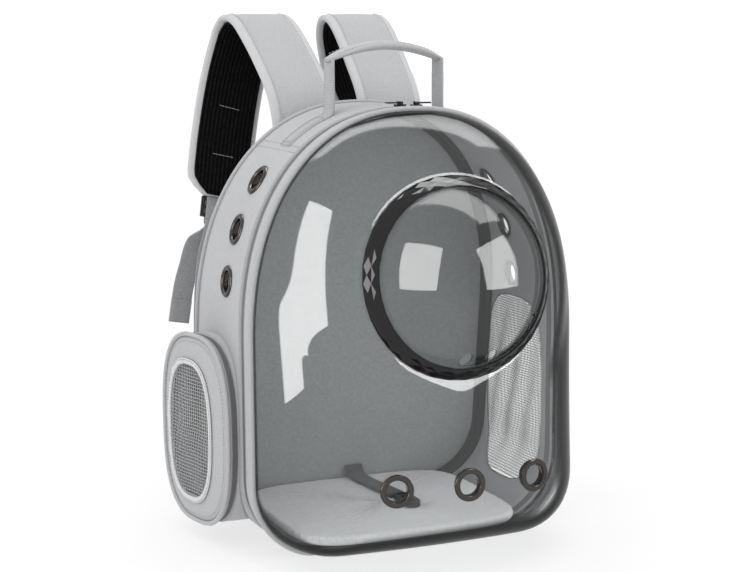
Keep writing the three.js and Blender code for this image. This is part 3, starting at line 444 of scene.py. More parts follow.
def rounded_loop(half_across, half_up, power, count, phase=0.5):
    turn = (np.arange(count) + phase) / count * TAU
    c, s = np.cos(turn), np.sin(turn)
    return np.stack([
        half_across * np.sign(c) * np.abs(c) ** (2 / power),
        half_up * np.sign(s) * np.abs(s) ** (2 / power),
    ], 1)


# Materials

def new_material(name):
    material = bpy.data.materials.new(name)
    material.use_nodes = True
    tree = material.node_tree
    tree.nodes.clear()
    output = tree.nodes.new("ShaderNodeOutputMaterial")
    return material, tree, output


def node(tree, kind, inputs=None, **settings):
    """Adds a node, sets its properties, and sets or links its inputs by name or number."""
    made = tree.nodes.new(kind)
    for key, value in settings.items():
        setattr(made, key, value)
    for key, value in (inputs or {}).items():
        if isinstance(value, bpy.types.NodeSocket):
            tree.links.new(value, made.inputs[key])
        else:
            made.inputs[key].default_value = value
    return made


def maths(tree, operation, a, b=0.0):
    return node(tree, "ShaderNodeMath", {0: a, 1: b}, operation=operation).outputs[0]


def noise(tree, scale, detail=3.0, vector=None):
    inputs = {"Scale": scale, "Detail": detail}
    if vector is not None:
        inputs["Vector"] = vector
    return node(tree, "ShaderNodeTexNoise", inputs).outputs["Fac"]


def place(tree):
    return node(tree, "ShaderNodeTexCoord").outputs["Object"]


def shade(tree, factor, dark, light):
    """Colour between dark and light by a factor."""
    made = node(tree, "ShaderNodeMix", {"Factor": factor}, data_type="RGBA")
    made.inputs[6].default_value = (*dark, 1)
    made.inputs[7].default_value = (*light, 1)
    return made.outputs[2]


def weave_height(tree, pitch):
    """Height of a plain weave of threads a pitch apart in metres, whichever way the cloth lies."""
    parts = node(tree, "ShaderNodeSeparateXYZ", {0: place(tree)})
    waves = [maths(tree, "SINE", maths(tree, "MULTIPLY", parts.outputs[k], TAU / pitch)) for k in range(3)]
    pairs = [maths(tree, "MULTIPLY", waves[a], waves[b]) for a, b in ((0, 1), (1, 2), (2, 0))]
    return maths(tree, "ADD", maths(tree, "ADD", pairs[0], pairs[1]), pairs[2])


def cloth(name, dark, light, pitch=0.0011, rough=0.82, sheen=0.25, bump=0.25, mottle=420.0):
    material, tree, output = new_material(name)
    threads = noise(tree, mottle, 4.0, place(tree))
    broad = noise(tree, 9.0, 2.0, place(tree))
    factor = maths(tree, "ADD", maths(tree, "MULTIPLY", threads, 0.75), maths(tree, "MULTIPLY", broad, 0.25))
    height = maths(tree, "ADD", weave_height(tree, pitch), maths(tree, "MULTIPLY", threads, 1.5))
    bumped = node(tree, "ShaderNodeBump", {"Strength": bump, "Distance": 0.0003, "Height": height})
    shader = node(tree, "ShaderNodeBsdfPrincipled", {
        "Base Color": shade(tree, factor, dark, light),
        "Roughness": maths(tree, "ADD", maths(tree, "MULTIPLY", threads, 0.12), rough - 0.06),
        "Normal": bumped.outputs[0],
        "Sheen Weight": sheen,
        "Sheen Roughness": 0.5,
    })
    tree.links.new(shader.outputs[0], output.inputs[0])
    return material


def webbing_material(name, dark, light):
    """Ribbed webbing, its ribs across the band by the band's own length and width."""
    material, tree, output = new_material(name)
    parts = node(tree, "ShaderNodeSeparateXYZ", {0: node(tree, "ShaderNodeUVMap", uv_map="UVMap").outputs[0]})
    along = maths(tree, "SINE", maths(tree, "MULTIPLY", parts.outputs[1], TAU / 0.0021))
    across = maths(tree, "SINE", maths(tree, "MULTIPLY", parts.outputs[0], TAU / 0.0026))
    ribs = maths(tree, "MULTIPLY", along, maths(tree, "ADD", maths(tree, "MULTIPLY", across, 0.5), 0.5))
    grain = noise(tree, 700.0, 3.0, place(tree))
    # The ribs darken the colour in their grooves: painted shade, on top of the grain's random tone.
    factor = maths(tree, "ADD", maths(tree, "MULTIPLY", ribs, 0.22), maths(tree, "MULTIPLY", grain, 0.9))
    bumped = node(tree, "ShaderNodeBump", {"Strength": 0.5, "Distance": 0.0004, "Height": ribs})
    shader = node(tree, "ShaderNodeBsdfPrincipled", {
        "Base Color": shade(tree, factor, dark, light),
        "Roughness": maths(tree, "ADD", maths(tree, "MULTIPLY", grain, 0.2), 0.6),
        "Normal": bumped.outputs[0],
        "Sheen Weight": 0.2,
    })
    tree.links.new(shader.outputs[0], output.inputs[0])
    return material


SPACER_RIB = 0.0042


def spacer_material(name):
    """Black spacer mesh with small hexagonal pits in ribs along the band's own length."""
    material, tree, output = new_material(name)
    parts = node(tree, "ShaderNodeSeparateXYZ", {0: node(tree, "ShaderNodeUVMap", uv_map="UVMap").outputs[0]})
    wave = maths(tree, "SINE", maths(tree, "MULTIPLY", parts.outputs[0], TAU / SPACER_RIB))
    ribs = maths(tree, "ADD", maths(tree, "MULTIPLY", wave, 0.5), 0.5)
    stretch = node(tree, "ShaderNodeMapping", {"Vector": place(tree), "Scale": (1, 1, 0.7)})
    cells = node(tree, "ShaderNodeTexVoronoi", {"Vector": stretch.outputs[0], "Scale": 380.0})
    depth = maths(tree, "MULTIPLY", cells.outputs["Distance"], ribs)
    bumped = node(tree, "ShaderNodeBump", {
        "Strength": 0.9, "Distance": 0.0008, "Height": maths(tree, "ADD", depth, ribs),
    })
    shader = node(tree, "ShaderNodeBsdfPrincipled", {
        # Colour follows the depth, so the pits and the grooves between ribs are darker: painted shade.
        "Base Color": shade(tree, depth, (0.0006, 0.0006, 0.0007), (0.014, 0.014, 0.015)),
        "Roughness": maths(tree, "ADD", maths(tree, "MULTIPLY", depth, 0.3), 0.7),
        "Normal": bumped.outputs[0],
        "Specular IOR Level": 0.1,
    })
    tree.links.new(shader.outputs[0], output.inputs[0])
    return material


def hard_material(name, colour, rough, metallic=0.0, coat=0.0, grain=60.0):
    """Moulded plastic or plated metal, its gloss a little uneven."""
    material, tree, output = new_material(name)
    wear = noise(tree, grain, 5.0, place(tree))
    light = tuple(min(c * 1.25 + 0.002, 1) for c in colour)
    shader = node(tree, "ShaderNodeBsdfPrincipled", {
        "Base Color": shade(tree, wear, colour, light),
        "Roughness": maths(tree, "ADD", maths(tree, "MULTIPLY", wear, rough), rough * 0.5),
        "Metallic": metallic,
        "Coat Weight": coat,
        "Coat Roughness": 0.04,
    })
    tree.links.new(shader.outputs[0], output.inputs[0])
    return material


FACE_MIRROR = 0.045
GRAZING_MIRROR = 0.7
GRAZING_POWER = 9.0


def clear_material(name, face_tint, edge_tint, edge_span, gloss_rough):
    """Clear plastic wall: it lets light through with a tint that deepens where the wall is seen
    edge-on, and mirrors more of the room there."""
    material, tree, output = new_material(name)
    facing = node(tree, "ShaderNodeLayerWeight", {"Blend": 0.5}).outputs["Facing"]
    edge = node(tree, "ShaderNodeMapRange", {
        "Value": facing, "From Min": edge_span[0], "From Max": edge_span[1],
    }, interpolation_type="SMOOTHSTEP").outputs[0]
    smears = noise(tree, 14.0, 2.0, place(tree))
    tint = shade(tree, edge, face_tint, edge_tint)
    through = node(tree, "ShaderNodeBsdfTransparent", {"Color": tint})
    rough = maths(tree, "ADD", maths(tree, "MULTIPLY", smears, gloss_rough), gloss_rough * 0.5)
    gloss = node(tree, "ShaderNodeBsdfGlossy", {"Color": (1, 1, 1, 1), "Roughness": rough})
    grazing = maths(tree, "MULTIPLY", maths(tree, "POWER", facing, GRAZING_POWER), GRAZING_MIRROR)
    mirror = maths(tree, "ADD", grazing, FACE_MIRROR)
    mixed = node(tree, "ShaderNodeMixShader", {0: mirror, 1: through.outputs[0], 2: gloss.outputs[0]})
    tree.links.new(mixed.outputs[0], output.inputs[0])
    return material


def fleece_material(name):
    material, tree, output = new_material(name)
    tufts = noise(tree, 260.0, 6.0, place(tree))
    curls = noise(tree, 90.0, 4.0, place(tree))
    height = maths(tree, "ADD", tufts, maths(tree, "MULTIPLY", curls, 1.4))
    bumped = node(tree, "ShaderNodeBump", {"Strength": 0.8, "Distance": 0.0016, "Height": height})
    shader = node(tree, "ShaderNodeBsdfPrincipled", {
        "Base Color": shade(tree, tufts, (0.62, 0.63, 0.65), (0.92, 0.92, 0.93)),
        "Roughness": 0.95,
        "Normal": bumped.outputs[0],
        "Sheen Weight": 0.8,
        "Sheen Roughness": 0.6,
    })
    tree.links.new(shader.outputs[0], output.inputs[0])
    return material


LIGHT = cloth("light_cloth", (0.325, 0.328, 0.338), (0.50, 0.503, 0.517))
INNER = cloth("inner_cloth", (0.255, 0.268, 0.275), (0.485, 0.505, 0.512), bump=0.4, mottle=300.0)
BINDING = cloth("binding_cloth", (0.43, 0.433, 0.442), (0.60, 0.603, 0.615), pitch=0.0008, bump=0.3)
THREAD = cloth("thread", (0.30, 0.303, 0.312), (0.44, 0.443, 0.455), pitch=0.0004, sheen=0.1)
TAPE = cloth("pale_tape", (0.54, 0.543, 0.55), (0.70, 0.703, 0.71), pitch=0.0008, bump=0.3)
NET = cloth("net_thread", (0.32, 0.32, 0.325), (0.48, 0.485, 0.49), pitch=0.0006, sheen=0.1, bump=0.1)
# Same net thread as NET, made darker for the flank windows: painted shade.
SHADED_FLANK_NET = cloth("flank_net_thread_painted_shade", (0.155, 0.155, 0.16), (0.255, 0.26, 0.265), pitch=0.0006, sheen=0.1)
# Dark cloth of the inner corner tape and the leash's stitches; on the corner tape its darkness is partly
# painted shade of the corner.
DARK_CLOTH_AND_CORNER_SHADE = cloth("dark_binding_and_corner_shade", (0.025, 0.026, 0.028), (0.06, 0.062, 0.065), pitch=0.0009, bump=0.3)
LEASH_FINISH = webbing_material("leash_ribs", (0.05, 0.052, 0.055), (0.12, 0.123, 0.13))
FLEECE = fleece_material("fleece")
WEBBING_FINISH = webbing_material("webbing_ribs", (0.20, 0.203, 0.21), (0.40, 0.405, 0.415))
HANDLE_FINISH = webbing_material("handle_ribs", (0.30, 0.303, 0.312), (0.50, 0.503, 0.515))
SPACER = spacer_material("spacer_mesh")
ZIP_TAPE_FINISH = cloth("zip_tape", (0.13, 0.131, 0.135), (0.24, 0.242, 0.25), pitch=0.0009, bump=0.3)
TEETH = hard_material("zip_teeth", (0.14, 0.142, 0.148), 0.35)
GLOSS = hard_material("polished_black", (0.004, 0.004, 0.005), 0.05)
DULL_BLACK = hard_material("moulded_black", (0.02, 0.02, 0.021), 0.4)
GUNMETAL = hard_material("gunmetal", (0.10, 0.092, 0.086), 0.2, metallic=1.0, grain=35.0)
CLEAR = clear_material("clear_smoke", (0.945, 0.95, 0.95), (0.20, 0.21, 0.205), (0.53, 0.76), 0.012)
DOME_CLEAR = clear_material("clear_dome", (0.82, 0.825, 0.825), (0.30, 0.31, 0.31), (0.6, 1.0), 0.008)


# Front edge: piping, band and zip

def outline_lines(out, depth):
    return outline_ring(-out, depth), outline_normals()


def outline_tube(name, depth, radius, out, node_name):
    batch = Batch()
    sides = 10
    rings = []
    for k in range(sides):
        turn = TAU * k / sides
        at = (lambda z, shift=radius * math.sin(turn): depth(z) + shift)
        rings.append(outline_ring(-out - radius * math.cos(turn), at))
    skin(batch, rings, True)
    piece = batch.build(name, [LIGHT], slot="light_fabric")
    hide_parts(node_name)


for cord, middle, solid in (
    ("front_cord", lambda z: PIPING_RADIUS + SEAM_GAP + 0 * z, "front_piping"),
    ("back_cord", lambda z: back_depth(z) - BACK_PIPING_ROOM / 2, "back_piping"),
):
    outline_tube(cord, middle, PIPING_RADIUS, PIPING_OUT, solid)


def cloth_wall(batch, front, rear, wall, crown, steps, slots=(0, 0)):
    """Wall of cloth along the outline, a little crowned between its sewn edges, with an outer
    and an inner side that may have different slots."""
    rings = []
    each = []
    for i in range(steps + 1):
        share = i / steps
        lift = crown * (1 - (2 * share - 1) ** 4)
        rings.append(outline_ring(-lift, lambda z, s=share: mix(front + 0 * z, rear(z), s)))
        each.append(slots[0])
    for i in range(steps + 1):
        share = 1 - i / steps
        rings.append(outline_ring(wall, lambda z, s=share: mix(front + 0 * z, rear(z), s)))
        each.append(slots[1])
    skin(batch, rings, True, each)


def front_band():
    batch = Batch()
    cloth_wall(batch, BAND_FRONT, lambda z: BAND_FRONT + BAND_DEPTH + 0 * z, WALL, 0.7, 8)
    for depth in (BAND_FRONT + 2.2, BAND_FRONT + BAND_DEPTH - 2.2):
        points, normals = outline_lines(0.75, depth)
        add_stitches(batch, points, normals, True, 1)
    piece = batch.build("front_edge_band", [LIGHT, THREAD], slot="light_fabric")
    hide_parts("front_band")


front_band()

TOOTH_PITCH = 1.9


def teeth_row(batch, loop, normals, across, slot, width=3.6, rise=1.1):
    """Coil teeth side by side along a closed line: short rods that lie across it."""
    steps = np.linalg.norm(np.diff(np.vstack([loop, loop[:1]]), axis=0), axis=1)
    reach = np.concatenate([[0], np.cumsum(steps)])
    count = int(reach[-1] / TOOTH_PITCH)
    places = np.arange(count) * reach[-1] / count
    around = lambda rows: np.stack([
        np.interp(places, reach, np.append(rows[:, k], rows[0, k])) for k in range(3)
    ], 1)
    centres, ups, sides = around(loop), around(normals), around(across)
    ups /= np.linalg.norm(ups, axis=1)[:, None]
    sides /= np.linalg.norm(sides, axis=1)[:, None]
    along = np.cross(ups, sides)
    half = 0.36 * TOOTH_PITCH
    section = ((-half, -rise), (-half, 0.3), (0, 0.75), (half, 0.3), (half, -rise))
    faces = grid_faces(2, 5) + [[4, 3, 2, 1, 0], [5, 6, 7, 8, 9]]
    for i in range(count):
        rings = [[
            centres[i] + end * width / 2 * sides[i] + a * along[i] + u * ups[i] for a, u in section
        ] for end in (-1, 1)]
        batch.add(np.array(rings).reshape(-1, 3), faces, slot)


def front_zip():
    batch = Batch()
    inset = ZIP_INSET
    rings = [
        outline_ring(inset, ZIP_FRONT), outline_ring(inset - 0.3, ZIP_FRONT + 2.6),
        outline_ring(inset + 0.2, ZIP_FRONT + ZIP_DEPTH / 2), outline_ring(inset - 0.3, ZIP_FRONT + 7.2),
        outline_ring(inset, ZIP_FRONT + ZIP_DEPTH), outline_ring(inset + ZIP_TAPE, ZIP_FRONT + ZIP_DEPTH),
        outline_ring(inset + ZIP_TAPE, ZIP_FRONT),
    ]
    skin(batch, rings, True)
    line = outline_ring(inset + 0.1, ZIP_FRONT + ZIP_DEPTH / 2)
    across = np.tile([0.0, 1.0, 0.0], (len(line), 1))
    teeth_row(batch, line, outline_normals(), across, 1)
    piece = batch.build("front_zip_coil", [ZIP_TAPE_FINISH, TEETH], smooth=False, slot="zip")
    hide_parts("front_zip")


front_zip()


# Clear front panel

BUBBLE_AXIS = np.array([0, -math.cos(FACE_LEAN), math.sin(FACE_LEAN)])
BUBBLE_UP = np.array([0, math.sin(FACE_LEAN), math.cos(FACE_LEAN)])
BUBBLE_CENTRE = np.array([0, -FACE_DEPTH, BUBBLE_HEIGHT])
HOLE_RADIUS = DOME_RADIUS + BUBBLE_CLEARANCE + 0.6
LAND_RADIUS = RING_RADIUS + 2
SEAM_LOOP = outline_ring(PANEL_INSET, 0)


def bubble_point(across, up, out):
    return (BUBBLE_CENTRE + np.multiply.outer(across, [1, 0, 0])
            + np.multiply.outer(up, BUBBLE_UP) + np.multiply.outer(out, BUBBLE_AXIS))


def seam_distance(x, z):
    start = SEAM_LOOP[:, [0, 2]]
    run = np.roll(start, -1, 0) - start
    place = np.stack([x, z], 1)[:, None, :] - start[None]
    share = np.clip(np.sum(place * run, 2) / np.sum(run * run, 1), 0, 1)
    return np.min(np.linalg.norm(place - share[..., None] * run, axis=2), 1)


def face_reach(x, z):
    plane = FACE_DEPTH + math.tan(FACE_LEAN) * (BUBBLE_HEIGHT - z)
    from_bubble = np.hypot(x, (z - BUBBLE_HEIGHT) / math.cos(FACE_LEAN))
    share = np.clip((from_bubble - LAND_RADIUS) / (0.6 * LAND_RADIUS), 0, 1)
    crown = share * share * (3 - 2 * share)
    bare = plane - crown * x * x / (2 * CROWN_RADIUS)
    edge = seam_distance(x, z)
    span = edge + np.maximum(from_bubble - LAND_RADIUS, 0)
    zone = (span ** -4 + EDGE_ZONE ** -4.0) ** -0.25
    left = np.clip(1 - edge / zone, 0, 1)
    return bare * (1 - left ** EDGE_POWER) ** (1 / EDGE_POWER)


def offset_rings(rings, wall):
    """Copy of a grid of rings moved inwards along its own normals."""
    grid = np.array(rings)
    along = np.roll(grid, -1, 1) - np.roll(grid, 1, 1)
    down = np.concatenate([grid[1:2] - grid[0:1], grid[2:] - grid[:-2], grid[-1:] - grid[-2:-1]])
    normals = np.cross(along, down)
    normals /= np.linalg.norm(normals, axis=2)[..., None]
    return grid - wall * normals


def panel_rings(steps=44):
    start = SEAM_LOOP
    turn = np.arctan2(start[:, 2] - BUBBLE_HEIGHT, start[:, 0])
    land = bubble_point(LAND_RADIUS * np.cos(turn), LAND_RADIUS * np.sin(turn), np.zeros(len(turn)))
    rings = []
    for i in range(steps + 1):
        share = (i / steps) ** 1.9
        x = mix(start[:, 0], land[:, 0], share)
        z = mix(start[:, 2], land[:, 2], share)
        rings.append(np.stack([x, -face_reach(x, z), z], 1))
    for radius in (mix(LAND_RADIUS, HOLE_RADIUS, 0.5), HOLE_RADIUS):
        rings.append(bubble_point(radius * np.cos(turn), radius * np.sin(turn), np.zeros(len(turn))))
    return rings


def node_ring(name):
    """Centre and axis of a ring-shaped solid and the levels of its ends along that axis."""
    points = np.array([v.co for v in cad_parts[name].data.vertices], float)
    centre = points.mean(0)
    axis = np.linalg.svd(points - centre)[2][2]
    levels = (points - centre) @ axis
    reach = np.linalg.norm(points - centre - np.outer(levels, axis), axis=1)
    if levels[reach > 0.97 * reach.max()].mean() < 0:
        axis, levels = -axis, -levels
    return centre, axis, levels.min(), levels.max()


def grommet_tools(names):
    return [cylinder_tool(node_ring(n)[0], node_ring(n)[1], GROMMET_HOLE * MM, 0.03) for n in names]


def window_panel():
    outer = panel_rings()
    inner = list(offset_rings(outer, CLEAR_WALL))
    inset = WALL + SEAM_GAP
    inner[0] = outline_ring(PANEL_INSET + CLEAR_WALL, 0)
    flange = [outline_ring(inset, FLANGE_DEPTH), outline_ring(inset, BAND_FRONT - SEAM_GAP)]
    lining = [outline_ring(inset + CLEAR_WALL, BAND_FRONT - SEAM_GAP),
              outline_ring(inset + CLEAR_WALL, FLANGE_DEPTH)]
    batch = Batch()
    skin(batch, flange + outer + inner[::-1] + lining, True)
    piece = batch.build("clear_front", [CLEAR], slot="clear_plastic")
    cut_away(piece, grommet_tools([f"front_grommet_{i}" for i in (1, 2, 3)]))
    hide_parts("window_panel")


window_panel()


# Grommets

def grommet(name):
    """Rolled metal eyelet: a domed flange, its barrel and the washer behind the wall."""
    centre, axis, low, high = node_ring(name)
    low, high = low / MM, high / MM
    seat = high - 2.4
    profile = []
    for k in range(9):
        turn = math.pi * k / 8
        middle = (GROMMET_BORE + GROMMET_RADIUS) / 2
        half = (GROMMET_RADIUS - GROMMET_BORE) / 2
        profile.append((middle - half * math.cos(turn), seat + 2.4 * math.sin(turn) ** 0.8))
    profile += [(GROMMET_RADIUS - 0.2, seat - 0.1), (GROMMET_BORE + 0.9, seat - 0.1),
                (GROMMET_BORE + 0.9, low + 0.9), (GROMMET_RADIUS - 2.4, low + 0.9),
                (GROMMET_RADIUS - 2.2, low + 0.4), (GROMMET_BORE + 1.4, low), (GROMMET_BORE, low + 0.5)]
    sides = 56
    across = np.cross([0, 0, 1.0], axis)
    across /= np.linalg.norm(across)
    up = np.cross(axis, across)
    rings = []
    middle = centre / MM + np.array([0, SEAM_DEPTH, 0])
    for r, h in profile:
        turn = np.arange(sides) / sides * TAU
        rings.append(middle + r * (np.outer(np.cos(turn), across) + np.outer(np.sin(turn), up)) + h * axis)
    batch = Batch()
    skin(batch, rings, True)
    piece = batch.build(f"eyelet_{name}", [GUNMETAL], slot="gunmetal")
    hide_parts(name)


GROMMETS = [f"{place}_grommet_{i}" for place in ("front", "left", "right") for i in (1, 2, 3)]
for grommet_name in GROMMETS:
    grommet(grommet_name)


# Bubble window

# Facet corners: share of the way from the ring's outside to its bore, height, and share of a step round
FACET_ROWS = ((0, 2.7, 0), (0.19, 6.2, 0.5), (0.44, 9.6, 0), (0.66, 12.6, 0.5), (0.86, 14.7, 0))


def diamond_ring():
    """Ring with two rounds of flat diamond facets, as its own hard-edged piece."""
    bore = DOME_RADIUS + BUBBLE_CLEARANCE
    recess = bore + DOME_FLANGE
    recess_top = SEAM_GAP + DOME_WALL + 2 * BUBBLE_CLEARANCE
    cut = tuple((mix(RING_RADIUS, bore, share), out, shift) for share, out, shift in FACET_ROWS)
    rows = ((RING_RADIUS, SEAM_GAP, 0),) + cut + (
        (bore + 0.5, RING_HEIGHT, 0), (bore, RING_HEIGHT - 1, 0), (bore, recess_top, 0),
        (recess, recess_top, 0), (recess, SEAM_GAP, 0),
    )
    vertices, faces = [], []
    count = RING_DIAMONDS
    for radius, out, shift in rows:
        turn = (np.arange(count) + shift) / count * TAU
        vertices.append(bubble_point(radius * np.cos(turn), radius * np.sin(turn), np.full(count, out)))
    for r in range(len(rows)):
        here, above = r * count, (r + 1) % len(rows) * count
        start, end = rows[r][2], rows[(r + 1) % len(rows)][2]
        for i in range(count):
            j = (i + 1) % count
            if start < end:
                faces.append([here + i, here + j, above + i])
            elif start > end:
                faces.append([here + i, above + j, above + i])
            else:
                faces.append([here + i, here + j, above + j, above + i])
    for r in (2, 4):
        below, here, above = (r - 1) * count, r * count, (r + 1) * count
        for i in range(count):
            j = (i + 1) % count
            faces.append([below + j, here + j, above + j, here + i])
    batch = Batch()
    batch.add(np.concatenate(vertices), faces)
    piece = batch.build("cut_ring", [GLOSS], body="ring", smooth=False, slot="black_plastic")
    edges = piece.modifiers.new("eased", "BEVEL")
    edges.width = 0.0002
    edges.segments = 1
    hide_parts("bubble_ring")


diamond_ring()


def clear_dome():
    sphere = (DOME_RADIUS ** 2 + DOME_RISE ** 2) / (2 * DOME_RISE)
    edge_turn = math.asin(DOME_RADIUS / sphere)
    steps = 26

    def cap(radius):
        arc = []
        for i in range(1, steps + 1):
            turn = edge_turn * i / steps
            arc.append((radius * math.sin(turn), RING_HEIGHT + DOME_RISE - sphere + radius * math.cos(turn)))
        return arc

    foot = SEAM_GAP + BUBBLE_CLEARANCE
    outer = cap(sphere)
    outer += [(DOME_RADIUS, foot + DOME_WALL + 4), (DOME_RADIUS, foot + DOME_WALL),
              (DOME_RADIUS + DOME_FLANGE, foot + DOME_WALL), (DOME_RADIUS + DOME_FLANGE, foot)]
    inner = cap(sphere - DOME_WALL)[::-1]
    profile = outer + [(inner[0][0], foot)] + inner
    turn = np.arange(112) / 112 * TAU
    rings = [bubble_point(r * np.cos(turn), r * np.sin(turn), np.full(112, h)) for r, h in profile]
    batch = Batch()
    skin(batch, rings)
    piece = batch.build("dome_shell", [DOME_CLEAR], body="bubble", slot="clear_plastic")
    tools = []
    for degrees in VENT_ANGLES:
        turn = math.radians(degrees)
        centre = bubble_point(VENT_REACH * math.cos(turn), VENT_REACH * math.sin(turn), RING_HEIGHT)
        tools.append(cylinder_tool(to_frame(centre)[0], BUBBLE_AXIS, VENT_RADIUS * MM, 0.09, 28))
    cut_away(piece, tools)
    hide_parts("bubble_dome")


clear_dome()


# Fabric walls

def window_tool(side):
    window = WINDOWS[side]
    loop = rounded_loop(window["half_depth"], window["half_height"], WINDOW_POWER, 72)
    loop += [window["depth"], window["height"]]
    rings = [
        np.stack([np.full(len(loop), side * x), loop[:, 0], loop[:, 1]], 1)
        for x in (90, 190)
    ]
    batch = Batch()
    skin(batch, rings)
    tool = batch.build("tool", [])
    tool.parent = None
    return tool


def gusset_shell():
    batch = Batch()
    cloth_wall(batch, GUSSET_FRONT, gusset_back, WALL, 0.8, 16, (0, 1))
    piece = batch.build("gusset_cloth", [LIGHT, LIGHT], slot="light_fabric")
    tools = [window_tool(-1), window_tool(1)]
    cut_away(piece, tools + grommet_tools(GROMMETS[3:]))
    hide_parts("gusset")


gusset_shell()


def gusset_seams():
    """Rows of stitches along both edges of the gusset, and the two cross seams on the arch."""
    batch = Batch()
    points, normals = outline_lines(0.15, GUSSET_FRONT + 2)
    add_stitches(batch, points, normals, True)
    points, normals = outline_lines(0.2, lambda z: gusset_back(z) - 2.4)
    add_stitches(batch, points, normals, True)
    for side in (-1, 1):
        for x in (101.4, 106.6):
            z = arch_height(x)
            slope = (arch_height(x + 0.5) - arch_height(x - 0.5))
            normal = Vector((-slope, 0, 1)).normalized()
            depths = np.linspace(GUSSET_FRONT + 4, gusset_back(z) - 4, 40)
            line = np.stack([np.full(40, side * x), depths, np.full(40, z + 1.0)], 1)
            add_stitches(batch, line, np.tile([side * normal.x, 0, normal.z], (40, 1)))
    batch.build("gusset_stitches", [THREAD], smooth=True, slot="light_fabric")


gusset_seams()


# Back panel: cushioned cloth outside and the cabin's cloth inside

def back_panel():
    batch = Batch()
    centre = np.array([0, 0, 205.0])
    rings, slots = [], []

    def layer(inset, depth, shrink=1.0):
        ring = outline_ring(inset, lambda z: back_depth(z) + depth)
        if shrink < 1:
            x = centre[0] + (ring[:, 0] - centre[0]) * shrink
            z = centre[2] + (ring[:, 2] - centre[2]) * shrink
            ring = np.stack([x, back_depth(z) + depth, z], 1)
        return ring

    for shrink in (0.02, 0.2, 0.4, 0.6, 0.8, 0.92):
        rings.append(layer(0.5, 0, shrink))
        slots.append(1)
    rings.append(layer(0.5, 0))
    slots.append(1)
    for inset, depth in ((0, 1.2), (0, 4), (1.2, 6.8), (BACK_EDGE, 8.7), (2 * BACK_EDGE, 9.8)):
        rings.append(layer(inset, depth))
        slots.append(0)
    for shrink in (0.93, 0.86, 0.7, 0.5, 0.3, 0.15, 0.02):
        rings.append(layer(0, BACK_PADDING, shrink))
        slots.append(0)
    slots = [slots[min(i, len(slots) - 1)] for i in range(len(rings))]
    skin(batch, rings, False, slots)
    piece = batch.build("back_cushion", [LIGHT, INNER], slot="light_fabric")
    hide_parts("back_panel")


back_panel()


def corner_tape_and_shade():
    """Dark binding folded into the inner corner between the back panel and the gusset. Its dark colour also
    stands for the corner's shade: partly a real binding, partly painted shade.
    """
    edge = WALL + SEAM_GAP
    section = ((edge, -14), (edge, -0.4), (edge + 8, -0.4), (edge + 8, -1.3), (edge + 2.6, -1.7),
               (edge + 1.3, -3.2), (edge + 1.0, -14))
    batch = Batch()
    skin(batch, [outline_ring(inset, lambda z, d=depth: back_depth(z) + d) for inset, depth in section], True)
    batch.build("inner_seam_tape_and_shade", [DARK_CLOTH_AND_CORNER_SHADE], slot="inner_fabric")


corner_tape_and_shade()


# Nets

def add_strands(batch, surface, inside, low, high, pitch, radius, along_first, slot=0):
    """Threads of a net in one direction, kept where they lie inside its frame."""
    count = int((high[1 - along_first] - low[1 - along_first]) / pitch)
    samples = np.arange(low[along_first], high[along_first] + 0.1, 2.6)
    for k in range(count + 1):
        level = low[1 - along_first] + (k + 0.5) * pitch
        first = samples if along_first == 0 else np.full(len(samples), level)
        second = np.full(len(samples), level) if along_first == 0 else samples
        kept = inside(first, second)
        if kept.sum() < 3:
            continue
        weave = 0.3 * radius * np.where((np.arange(len(samples)) + k) % 2 == 0, 1, -1)
        points = surface(first[kept], second[kept], weave[kept])
        rings = tube_rings(points, radius, 4, False)
        skin(batch, rings, False, slot)


def loop_test(half_across, half_up, power, centre=(0, 0)):
    return lambda a, b: (
        np.abs((a - centre[0]) / half_across) ** power + np.abs((b - centre[1]) / half_up) ** power < 1
    )


def flank_net(side, name):
    """Net that fills a flank window, slack enough to ripple a little."""
    window = WINDOWS[side]

    def surface(across, up, lift):
        z = window["height"] + up
        hang = np.clip(1 - np.abs(across / window["half_depth"]) ** 3, 0, 1)
        hang *= np.clip(1 - np.abs(up / window["half_height"]) ** 3, 0, 1)
        ripple = hang * (1.1 * np.sin(across * 0.16 + up * 0.045) + 0.8 * np.sin(up * 0.09 + 1))
        x = flank_reach(z) - 1.4 - 1.3 * hang + ripple + lift
        return np.stack([side * x, window["depth"] + across, z], 1)

    batch = Batch()
    half = (window["half_depth"] - SEAM_GAP, window["half_height"] - SEAM_GAP)
    inside = loop_test(*half, WINDOW_POWER)
    for direction in (0, 1):
        add_strands(batch, surface, inside, (-half[0], -half[1]), half, 2.6, 0.36, direction)
    edge = rounded_loop(half[0] - 0.4, half[1] - 0.4, WINDOW_POWER, 90)
    add_tube(batch, surface(edge[:, 0], edge[:, 1], np.zeros(len(edge))), 0.6, 5, True)
    # The flank nets use the darker copy of the net thread: painted shade.
    piece = batch.build(f"{name}_net", [SHADED_FLANK_NET], slot="net")
    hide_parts(name)


flank_net(-1, "left_side_mesh")
flank_net(1, "right_side_mesh")


# Side pocket

def pocket_point(across, up, out):
    across, up, out = np.broadcast_arrays(np.asarray(across, float), up, out)
    slant = across / math.cos(POCKET_TURN)
    x = -HALF_WIDTH - POCKET_STAND - slant * math.sin(POCKET_TURN) - out * math.cos(POCKET_TURN)
    y = POCKET_DEPTH + across - out * math.sin(POCKET_TURN)
    return np.stack([x, y, POCKET_HEIGHT + up], -1)


POCKET_OUT = np.array([-math.cos(POCKET_TURN), -math.sin(POCKET_TURN), 0])
POCKET_POINTS = 108


def pocket_ring(margin, out):
    loop = rounded_loop(POCKET_HALF_DEPTH - margin, POCKET_HALF_HEIGHT - margin, POCKET_POWER, POCKET_POINTS)
    return pocket_point(loop[:, 0], loop[:, 1], out)


